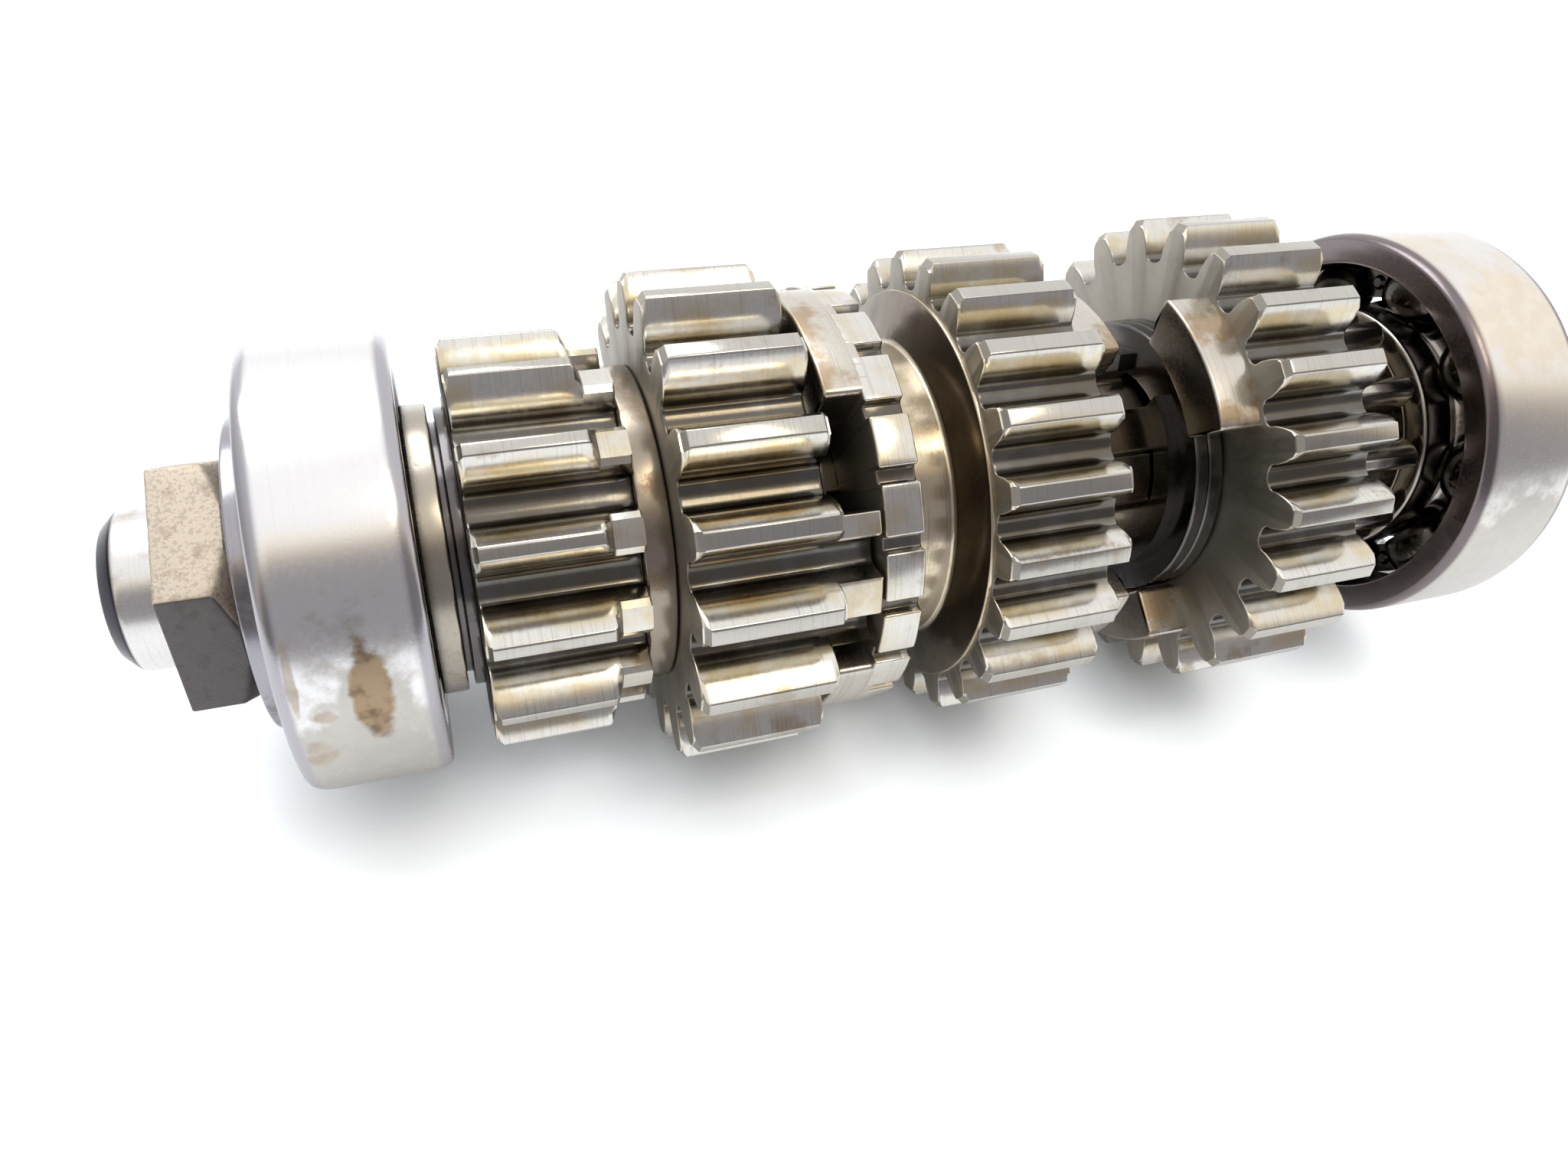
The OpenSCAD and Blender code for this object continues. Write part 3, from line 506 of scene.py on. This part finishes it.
# Darker end faces of the gears: oil with painted shade.
FACE_DARK = (0.33, 0.305, 0.265)
second_steel = steel("second_pinion_steel", teeth=(16.5, 22.35, GOLD), face=FACE_DARK, **GEAR)
fifth_steel = steel("fifth_gear_steel", teeth=(21.6, 27.6, GOLD), face=FACE_DARK, **GEAR)
third_steel = steel("third_gear_steel", teeth=(23.6, 27.8, GOLD), face=FACE_DARK, **GEAR)
slot_steel = steel("slotted_ring_steel", teeth=(23.5, 25.0, GOLD), face=FACE_DARK, **GEAR)
fourth_steel = steel("fourth_gear_steel", teeth=(24.3, 29.45, GOLD), face=FACE_DARK, **GEAR)
first_steel = steel("first_pinion_steel", teeth=(12.9, 18.0, GOLD), face=FACE_DARK, **GEAR)
# The fork groove's dark face: oil with painted shade.
hub_steel = steel("fork_groove_steel", (0.66, 0.57, 0.43), (0.50, 0.40, 0.27), UMBER, 0.5, 0.16, 0.3,
                  face=(0.13, 0.105, 0.085))
# The dogs' dark end faces: oil with painted shade.
dog_steel = steel("dog_steel", (0.60, 0.56, 0.50), (0.42, 0.32, 0.22), UMBER, 0.45, 0.24, 0.35,
                  face=(0.22, 0.19, 0.16))


# ---------------------------------------------------------------- the shaft and what is fixed to it

def spline_radius(turn, gap=0.0):
    """Radius of the splined shaft at a turn: the outer radius within half a spline's width of the
    nearest spline's middle, and the floor radius elsewhere."""
    pitch = np.pi / 3
    off = np.abs((turn + pitch / 2) % pitch - pitch / 2)
    half = np.arcsin((2.7 + gap) / (SPLINE_R + gap))
    return np.where(off < half, SPLINE_R + gap, SPLINE_FLOOR_R + gap)


def spline_outline():
    """Six splines on the floor circle, each with rounded corners."""
    half_top = math.asin(2.7 / SPLINE_R)
    half_foot = math.asin(2.7 / SPLINE_FLOOR_R)
    angle = np.array([-half_foot, -half_top, 0, half_top, half_foot, math.pi / 6])
    radius = np.array([SPLINE_FLOOR_R, SPLINE_R, SPLINE_R, SPLINE_R, SPLINE_FLOOR_R, SPLINE_FLOOR_R])
    rounds = np.array([0.5, 0.25, 0, 0.25, 0.5, 0])
    turn = np.arange(6) * np.pi / 3
    points = polar(np.tile(radius, 6), (turn[:, None] + angle[None]).ravel())
    return soften(points, np.tile(rounds, 6))


def threaded(left, right, crest, depth, pitch, around=96):
    """Thread: the radius falls from the crest by the depth as a triangle wave of the place minus
    one pitch for each full turn."""
    place = np.arange(left, right, pitch / 8)
    turn = np.linspace(0, 2 * np.pi, around, endpoint=False)
    wave = np.abs(((place[:, None] / pitch - turn[None] / 2 / np.pi) % 1) * 2 - 1)
    ring = crest - depth * wave
    rows = np.stack([np.broadcast_to(place[:, None], ring.shape), ring * np.cos(turn),
                     ring * np.sin(turn)], axis=-1)
    ends = rows[[0, -1]].copy()
    ends[..., 1:] = 0
    return np.concatenate([ends[:1], rows, ends[1:]]), False


stub = (revolve(soften([(STUB_END + 2.2, 0), (STUB_END, 2.4), (STUB_END, 6.8), (STUB_END + 1.6, 8.4),
                        (NUT_LEFT + 0.4, 8.4), (NUT_LEFT + 0.4, 0)], [0, 0.1, 0.35, 0.5, 0, 0])), True)
thread = threaded(NUT_LEFT - 0.2, SMALL_LEFT + 0.2, 8.98, 0.5, 1.0)
seat = (revolve([(SMALL_LEFT, 0), (SMALL_LEFT, 10), (SECOND_LEFT, 10), (SECOND_LEFT, 0)], 96), True)
splines = carry(spline_outline(), [[SECOND_LEFT, 99, 0, 0], [SECOND_LEFT, 99, 0, 1],
                                   [FOURTH_LEFT - 0.15, 99, 0, 1], [FOURTH_LEFT - 0.15, 99, 0, 0]]), False
journal = (revolve(soften([(FOURTH_LEFT - 0.15, 0), (FOURTH_LEFT - 0.15, 13), (FIRST_LEFT, 13),
                           (FIRST_LEFT, 12.6), (FIRST_RIGHT, 12.6), (FIRST_RIGHT, 15), (LARGE_LEFT, 15),
                           (LARGE_LEFT, 12.5), (SHAFT_END - 1, 12.5), (SHAFT_END, 11.5), (SHAFT_END, 3),
                           (SHAFT_END - 3.4, 0)],
                          [0, 0, 0, 0, 0.5, 0.3, 0, 0, 0.3, 0.3, 0.1, 0])), True)
first_teeth = toothed(tooth_outline(12, 2.54, 12.9, 18, 151.8, 0.3, 1.6), 10,
                      gear_stations(FIRST_LEFT, FIRST_RIGHT, 18, 0.35, 0.8))
skin("shaft_form", [stub, thread, seat, splines, journal, first_teeth], "shaft_assembly", ["main_shaft"],
     [stub_bright, thread_dark, shaft_oil_and_shade, shaft_oil_and_shade, shaft_oil_and_shade, first_steel])


def nut_form():
    """Hexagon with its corners cut by a cone: limits that fall in a straight line to the face."""
    corner = 24 / 2 / math.cos(math.pi / 6)
    turn = math.radians(20.6) + np.arange(6) * np.pi / 3
    hexagon = polar(corner, turn)
    share = np.arange(14) / 14
    flats = (hexagon[:, None] * (1 - share)[None, :, None]
             + np.roll(hexagon, -1, axis=0)[:, None] * share[None, :, None]).reshape(-1, 2)
    rounds = np.zeros(len(flats))
    rounds[::14] = 0.25
    outline = soften(flats, rounds)
    t = np.linspace(0, 1, 9)
    cone = np.stack([NUT_RIGHT - 2.4 * t, 11.1 + 2.876 * t, 0 * t, 0 * t + 1], axis=-1)
    stations = np.vstack([rounded_end(NUT_LEFT, 1, 0.25, 99), cone[::-1]])
    return toothed(outline, 9.02, stations)


skin("nut_form", [nut_form()], "shaft_assembly", ["lock_nut"], nut_steel)
skin("nut_washer_form", [flat_ring(9.2, 16.3, NUT_RIGHT, SMALL_LEFT)], "shaft_assembly", ["nut_washer"],
     washer_grey)
skin("spacer_collar_form", [flat_ring(10.01, 15.7, SMALL_RIGHT, COLLAR_RIGHT)], "shaft_assembly",
     ["spacer_collar"], collar_steel)
skin("shim_form", [flat_ring(10.01, 13.7, COLLAR_RIGHT, SHIM_RIGHT, 0.1)], "shaft_assembly", ["shim"],
     washer_dark)
skin("thrust_washer_form", [flat_ring(10.01, 15.2, SHIM_RIGHT, SECOND_LEFT, 0.2)], "shaft_assembly",
     ["thrust_washer"], washer_dark)
skin("mid_collar_form", [flat_ring(12.25, 17.8, SECOND_RIGHT, MID_COLLAR_RIGHT, 0.35)], "shaft_assembly",
     ["mid_thrust_collar"], brown_collar)


def second_stations():
    """Full teeth, then a steep shoulder down to the turned end at its own smaller radius."""
    step = SECOND_RIGHT - 3.2
    body = gear_stations(SECOND_LEFT, step, 22.35, 0.8, 0.1)[:-4]
    tail = np.array([[step - 1.2, 22.35, 0, 1], [step - 0.95, 22.28, 0, 1], [step - 0.7, 22.05, 0, 1],
                     [step - 0.1, 20.5, 0, 1], [step, 20.25, 0, 1], [step + 0.12, 20.12, 0, 1],
                     [step + 0.3, 20.1, 0, 1]])
    end = rounded_end(SECOND_RIGHT, -1, 0.25, 20.1)[::-1]
    return np.vstack([body[body[:, 0] < step - 1.3], tail, end])


skin("second_pinion_form",
     [toothed(tooth_outline(14, 2.75, 16.5, 22.35, 137.2, 0.22, 1.3), 11, second_stations())],
     "shaft_assembly", ["second_pinion"], second_steel)


# ---------------------------------------------------------------- ball bearings

def bearing(prefix, left, right, bore, outer, balls, bodies, ring_finish, ball_finish):
    """Two grooved rings of revolution and a row of balls on the pitch circle between them. Each
    groove is an arc about the pitch circle, cut off where it meets the ring's shoulder. The outer
    corners are quarter ellipses, longer than they are deep."""
    pitch = (bore + outer) / 2
    middle = (left + right) / 2
    groove = BALL_R + 0.15
    land_out, land_in = pitch + BALL_R * 0.72, pitch - BALL_R * 0.64
    half_out, half_in = math.acos(BALL_R * 0.72 / groove), math.acos(BALL_R * 0.64 / groove)
    t = np.linspace(half_out, -half_out, 11)
    arc = np.stack([middle + groove * np.sin(t), pitch + groove * np.cos(t)], axis=-1)
    bend = np.linspace(0, math.pi / 2, 9)
    corner = np.stack([CORNER_LONG * (1 - np.cos(bend)), outer - CORNER_DEEP * (1 - np.sin(bend))], axis=-1)
    points = np.vstack([corner + [left, 0], (corner * [-1, 1] + [right, 0])[::-1], [(right, land_out)],
                        arc, [(left, land_out)]])
    rounds = np.concatenate([np.zeros(18), [0.45], [0.15], np.zeros(9), [0.15], [0.45]])
    skin(prefix + "_outer_form", [turned(points, rounds, 224)], bodies[0], [prefix + "_outer_ring"],
         ring_finish)
    t = np.linspace(-half_in, half_in, 11)
    arc = np.stack([middle + groove * np.sin(t), pitch - groove * np.cos(t)], axis=-1)
    points = np.vstack([[(right, bore + 0.01), (left, bore + 0.01), (left, land_in)], arc,
                        [(right, land_in)]])
    rounds = np.concatenate([[0.4, 0.4, 0.7], [0.15], np.zeros(9), [0.15], [0.7]])
    skin(prefix + "_inner_form", [turned(points, rounds, 160)], "shaft_assembly",
         [prefix + "_inner_ring"], race_steel)
    turn = np.arange(balls) * 2 * np.pi / balls
    spots = np.stack([0 * turn + middle, pitch * np.cos(turn), pitch * np.sin(turn)], axis=-1)
    skin(prefix + "_balls_form", [sphere_shell(spot, BALL_R) for spot in spots], bodies[1],
         [prefix + "_balls"], ball_finish)


bearing("small_bearing", SMALL_LEFT, SMALL_RIGHT, 10, 23.5, 8, ("small_outer_ring", "small_cage"),
        ring_steel, ball_polish)
bearing("large_bearing", LARGE_LEFT, LARGE_RIGHT, 12.5, 26, 9, ("large_outer_ring", "large_cage"),
        far_ring_steel, ball_oil_and_shade)


# ---------------------------------------------------------------- free and sliding gears

fifth_outline = tooth_outline(18, 2.75, 21.6, 27.6, 140, 0.22, 1.1)


def fifth_dog(start_deg, angle_deg):
    """The gear's own outline between two turns, cut to the dog radius, closed by an inner arc."""
    a, b = math.radians(start_deg), math.radians(start_deg + angle_deg)
    turn = np.linspace(a, b, 61)
    ring = np.arctan2(fifth_outline[:, 1], fifth_outline[:, 0])
    order = np.argsort(ring)
    reach = np.interp((turn + np.pi) % (2 * np.pi) - np.pi, ring[order],
                      np.linalg.norm(fifth_outline, axis=1)[order], period=2 * np.pi)
    outer = polar(np.minimum(reach, 24.9), turn)
    inner = polar(17.8, np.linspace(b, a, 15))
    points = np.vstack([outer, inner])
    rounds = np.zeros(len(points))
    rounds[[0, 60, 61, 75]] = 0.5
    return soften(points, rounds)


fifth_shells = [toothed(fifth_outline, 14.55,
                        gear_stations(FIFTH_LEFT, FIFTH_RIGHT, 27.6, 0.9, 0.8))]
fifth_shells += [dog(fifth_dog(139.1 + 120 * k, 35.6), FIFTH_RIGHT - 1, FIFTH_DOG_END, 19.4, False)
                 for k in range(3)]
skin("fifth_gear_form", fifth_shells, "fifth_gear_body", ["fifth_gear"], fifth_steel)


def slotted_outline(radius, slot, turn_deg, teeth=22):
    """Circle with one narrow slot in line with each gap between the gear's teeth."""
    gap, floor = math.radians(2.1), math.radians(1.7)
    angle = np.concatenate([[-gap, -floor, floor, gap], np.linspace(gap, 2 * np.pi / teeth - gap, 8)[1:-1]])
    reach = np.concatenate([[radius, radius - slot, radius - slot, radius], np.full(6, radius)])
    rounds = np.concatenate([[0.2, 0.25, 0.25, 0.2], np.zeros(6)])
    centres = math.radians(turn_deg) + (np.arange(teeth) + 0.5) * 2 * np.pi / teeth
    points = polar(np.tile(reach, teeth), (centres[:, None] + angle[None]).ravel())
    return soften(points, np.tile(rounds, teeth))


def spline_core(outline):
    """Splined bore in line with each outline point, a little wider than the shaft's splines."""
    turn = np.arctan2(outline[:, 1], outline[:, 0])
    return polar(spline_radius(turn, 0.08), turn)


slots = slotted_outline(24.7, 1.1, 123.5)
ring_rows = np.vstack([[[RING_LEFT, 99, 0, 0]], rounded_end(RING_LEFT, 1, 0.3, 99),
                       rounded_end(GROOVE_LEFT, -1, 0.3, 99)[::-1], [[GROOVE_LEFT, 99, 0, 0]]])
slot_ring = carry(slots, ring_rows, spline_core(slots)), True
hub = turned([(GROOVE_LEFT - 1, 12.3), (THIRD_LEFT + 1.4, 12.3), (THIRD_LEFT + 1.4, 23.45),
              (THIRD_LEFT, 23.45), (GROOVE_RIGHT, 17.9), (GROOVE_RIGHT - 0.4, 17.5),
              (GROOVE_LEFT + 0.3, 17.5), (GROOVE_LEFT, 17.8), (GROOVE_LEFT - 1, 17.8)],
             [0, 0, 0, 0.25, 0.2, 0.2, 0.2, 0.2, 0], 224)
third_outline = tooth_outline(22, 2.33, 23.6, 27.8, 123.5, 0.2, 0.8)
third_rows = gear_stations(THIRD_LEFT + RIM_PROUD, THIRD_RIGHT, 27.8, 0.8, 0.8)
third_rows = np.vstack([third_rows[:1], third_rows, third_rows[-1:]])
third_rows[[0, -1], 3] = 0
third_teeth = carry(third_outline, third_rows, spline_core(third_outline)), True
left_dogs = [dog(dog_outline(17.8, 24.7, 64.6 + 120 * k, 46.4), RING_LEFT - 4, RING_LEFT + 1, 21, True)
             for k in range(3)]
right_dogs = [dog(dog_outline(17.8, 22.5, 59.9 + 120 * k, 43), THIRD_RIGHT - 1, THIRD_RIGHT + 5.7, 20, False)
              for k in range(3)]
skin("sliding_gear_form", [slot_ring, hub, third_teeth, *left_dogs, *right_dogs], "sliding_gear_body",
     ["sliding_gear"], [slot_steel, hub_steel, third_steel] + [dog_steel] * 6)

fourth_shells = [toothed(tooth_outline(22, 2.455, 24.3, 29.45, 137, 0.22, 1.0), 15.55,
                         gear_stations(FOURTH_LEFT, FOURTH_RIGHT, 29.45, 0.8, 0.8))]
fourth_shells += [dog(dog_outline(17.8, 24, 88.4 + 120 * k, 43.1), FOURTH_DOG_LEFT, FOURTH_LEFT + 1, 21, True)
                  for k in range(3)]
skin("fourth_gear_form", fourth_shells, "fourth_gear_body", ["fourth_gear"],
     [fourth_steel] + [dog_steel] * 3)
skin("fourth_washer_form", [flat_ring(11.5, 17.4, FOURTH_LEFT - 2.15, FOURTH_LEFT - 0.15, 0.4)],
     "shaft_assembly", ["fourth_gear_washer"], washer_dark)
skin("fourth_lock_washer_form", [flat_ring(11.5, 17.4, FOURTH_LEFT - 3.95, FOURTH_LEFT - 2.15, 0.4)],
     "shaft_assembly", ["fourth_gear_lock_washer"], washer_dark)

CAD_FINISHES = {
    "small_bearing_cage_left": cage_sheet, "small_bearing_cage_right": cage_sheet,
    "small_bearing_rivets": cage_sheet, "large_bearing_cage_left": cage_sheet,
    "large_bearing_cage_right": cage_sheet, "large_bearing_rivets": cage_sheet,
    "fifth_gear_bush": bush_bronze, "fourth_gear_bush": bush_bronze,
    "fifth_gear_washer": collar_steel, "fifth_gear_circlip": clip_black,
    "fourth_gear_circlip": clip_black,
}
for node_name, node_finish in CAD_FINISHES.items():
    for material_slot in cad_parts[node_name].material_slots:
        material_slot.material = node_finish


# ---------------------------------------------------------------- floor, light and camera

FLOOR_SPAN = 4.0
fourth_low, fifth_low = -0.02945, -0.0276
lean = math.atan2(fifth_low - fourth_low, (FOURTH_LEFT - FIFTH_LEFT) * MM)
floor_at = lambda x: fourth_low + (FOURTH_LEFT * MM - x) * math.tan(lean)
corners = [(sx * FLOOR_SPAN, sy * FLOOR_SPAN) for sx, sy in ((-1, -1), (1, -1), (1, 1), (-1, 1))]
floor_mesh = bpy.data.meshes.new("floor")
floor_mesh.from_pydata([(x, y, floor_at(x)) for x, y in corners], [], [(0, 1, 2, 3)])
floor = bpy.data.objects.new("floor", floor_mesh)
bpy.context.scene.collection.objects.link(floor)
floor_finish = bpy.data.materials.new("white_table")
floor_finish.use_nodes = True
floor_shader = floor_finish.node_tree.nodes["Principled BSDF"]
floor_shader.inputs["Base Color"].default_value = (0.80, 0.82, 0.85, 1)
floor_shader.inputs["Roughness"].default_value = 0.5
floor_shader.inputs["Emission Color"].default_value = (0.90, 0.955, 1.0, 1)
floor_links = floor_finish.node_tree.links
floor_rays = floor_finish.node_tree.nodes.new("ShaderNodeLightPath")
glow = None
for ray, strength in (("Is Camera Ray", 0.62), ("Is Glossy Ray", 0.32), ("Is Transmission Ray", 0.12)):
    share = floor_finish.node_tree.nodes.new("ShaderNodeMath")
    share.operation = "MULTIPLY_ADD"
    floor_links.new(floor_rays.outputs[ray], share.inputs[0])
    share.inputs[1].default_value = strength
    share.inputs[2].default_value = 0.0
    if glow:
        floor_links.new(glow, share.inputs[2])
    glow = share.outputs[0]
# Near the object the floor's glow is dimmed by ambient occlusion: a painted contact shadow.
near = floor_finish.node_tree.nodes.new("ShaderNodeAmbientOcclusion")
near.samples = 8
near.inputs["Distance"].default_value = 0.014
open_share = floor_finish.node_tree.nodes.new("ShaderNodeMath")
open_share.operation = "POWER"
floor_links.new(near.outputs["AO"], open_share.inputs[0])
open_share.inputs[1].default_value = 2.0
glow_with_painted_shadow = floor_finish.node_tree.nodes.new("ShaderNodeMath")
glow_with_painted_shadow.operation = "MULTIPLY"
floor_links.new(open_share.outputs[0], glow_with_painted_shadow.inputs[0])
floor_links.new(glow, glow_with_painted_shadow.inputs[1])
floor_links.new(glow_with_painted_shadow.outputs[0], floor_shader.inputs["Emission Strength"])
floor_mesh.materials.append(floor_finish)


def area_light(name, place, aim, size, power, colour):
    """Soft square lamp at a place, turned to face its aim."""
    data = bpy.data.lights.new(name, "AREA")
    data.shape, data.size, data.energy, data.color = "SQUARE", size, power, colour
    lamp = bpy.data.objects.new(name, data)
    bpy.context.scene.collection.objects.link(lamp)
    lamp.location = place
    lamp.rotation_euler = (Vector(aim) - Vector(place)).to_track_quat("-Z", "Y").to_euler()
    return lamp


area_light("window", (-0.15, 0.55, 0.75), (0.06, 0, 0), 0.6, 4.2, (0.95, 0.98, 1.0))
area_light("warm_lamp", (0.25, -0.25, 0.85), (0.06, 0, 0), 0.25, 1.1, (1.0, 0.86, 0.62))

world = bpy.data.worlds.new("room")
bpy.context.scene.world = world
world.use_nodes = True
sky = world.node_tree.nodes
sky_links = world.node_tree.links


def sky_math(operation, a, b, clamp=False):
    """Math node of the world; sockets are linked and numbers are written in."""
    node = sky.new("ShaderNodeMath")
    node.operation = operation
    node.use_clamp = clamp
    for value, socket in zip((a, b), node.inputs):
        if isinstance(value, bpy.types.NodeSocket):
            sky_links.new(value, socket)
        else:
            socket.default_value = value
    return node.outputs[0]


split = sky.new("ShaderNodeSeparateXYZ")
sky_links.new(sky.new("ShaderNodeTexCoord").outputs["Generated"], split.inputs[0])
ramp = sky.new("ShaderNodeValToRGB")
# From the bright back and ceiling, over a warm edge, to the dark side where the viewer stands
SKY_STOPS = [(0.42, (1.0, 1.0, 1.0, 1)), (0.52, (1.0, 0.93, 0.78, 1)), (0.61, (0.50, 0.43, 0.35, 1)),
             (0.70, (0.25, 0.24, 0.245, 1)), (1.0, (0.25, 0.24, 0.26, 1))]
for _ in SKY_STOPS[2:]:
    ramp.color_ramp.elements.new(0.5)
for element, (place, shade) in zip(ramp.color_ramp.elements, SKY_STOPS):
    element.position = place
    element.color = shade
toward_right = sky_math("MULTIPLY", split.outputs["X"], 0.22, True)
sky_links.new(sky_math("SUBTRACT", toward_right, split.outputs["Y"]), ramp.inputs["Fac"])
left = sky_math("MULTIPLY", sky_math("SUBTRACT", sky_math("MULTIPLY", split.outputs["X"], -1.0), 0.45),
                1.2, True)
rays = sky.new("ShaderNodeLightPath")
seen = sky_math("ADD", rays.outputs["Is Camera Ray"], rays.outputs["Is Transmission Ray"], True)
seen = sky_math("ADD", seen, sky_math("MULTIPLY", rays.outputs["Is Glossy Ray"], 0.06), True)
backdrop = sky.new("ShaderNodeMix")
backdrop.data_type = "RGBA"
sky_links.new(seen, backdrop.inputs[0])
sky_links.new(ramp.outputs["Color"], backdrop.inputs[6])
backdrop.inputs[7].default_value = (1, 1, 1, 1)
sky_links.new(backdrop.outputs[2], sky["Background"].inputs["Color"])
sky_strength = sky_math("SUBTRACT", 1.15, sky_math("MULTIPLY", left, sky_math("SUBTRACT", 1.0, seen)))
sky_links.new(sky_strength, sky["Background"].inputs["Strength"])

ELEVATION = math.radians(45.6)
DISTANCE = 0.1271
YAW, PITCH, ROLL = math.radians(16.58), math.radians(-4.39), math.radians(-7.76)
FOCAL_MM = 25.53
forward = np.array([math.sin(YAW) * math.cos(PITCH), math.cos(YAW) * math.cos(PITCH), math.sin(PITCH)])
level = np.array([math.cos(YAW), -math.sin(YAW), 0.0])
above = np.cross(level, forward)
right = math.cos(ROLL) * level + math.sin(ROLL) * above
upward = -math.sin(ROLL) * level + math.cos(ROLL) * above
drop = np.array([[1, 0, 0], [0, math.cos(ELEVATION), math.sin(ELEVATION)],
                 [0, -math.sin(ELEVATION), math.cos(ELEVATION)]])
axes = drop @ np.stack([right, upward, -forward], axis=1)
eye = drop @ np.array([0.0093, -DISTANCE, 0.0])
camera_data = bpy.data.cameras.new("camera")
camera_data.sensor_width = SENSOR_MM
camera_data.lens = FOCAL_MM
camera_data.clip_start = 0.005
camera = bpy.data.objects.new("camera", camera_data)
bpy.context.scene.collection.objects.link(camera)
pose = Matrix.Identity(4)
for row in range(3):
    for column in range(3):
        pose[row][column] = axes[row, column]
    pose[row][3] = eye[row]
camera.matrix_world = pose
bpy.context.scene.camera = camera
bpy.context.scene.view_settings.view_transform = "Standard"
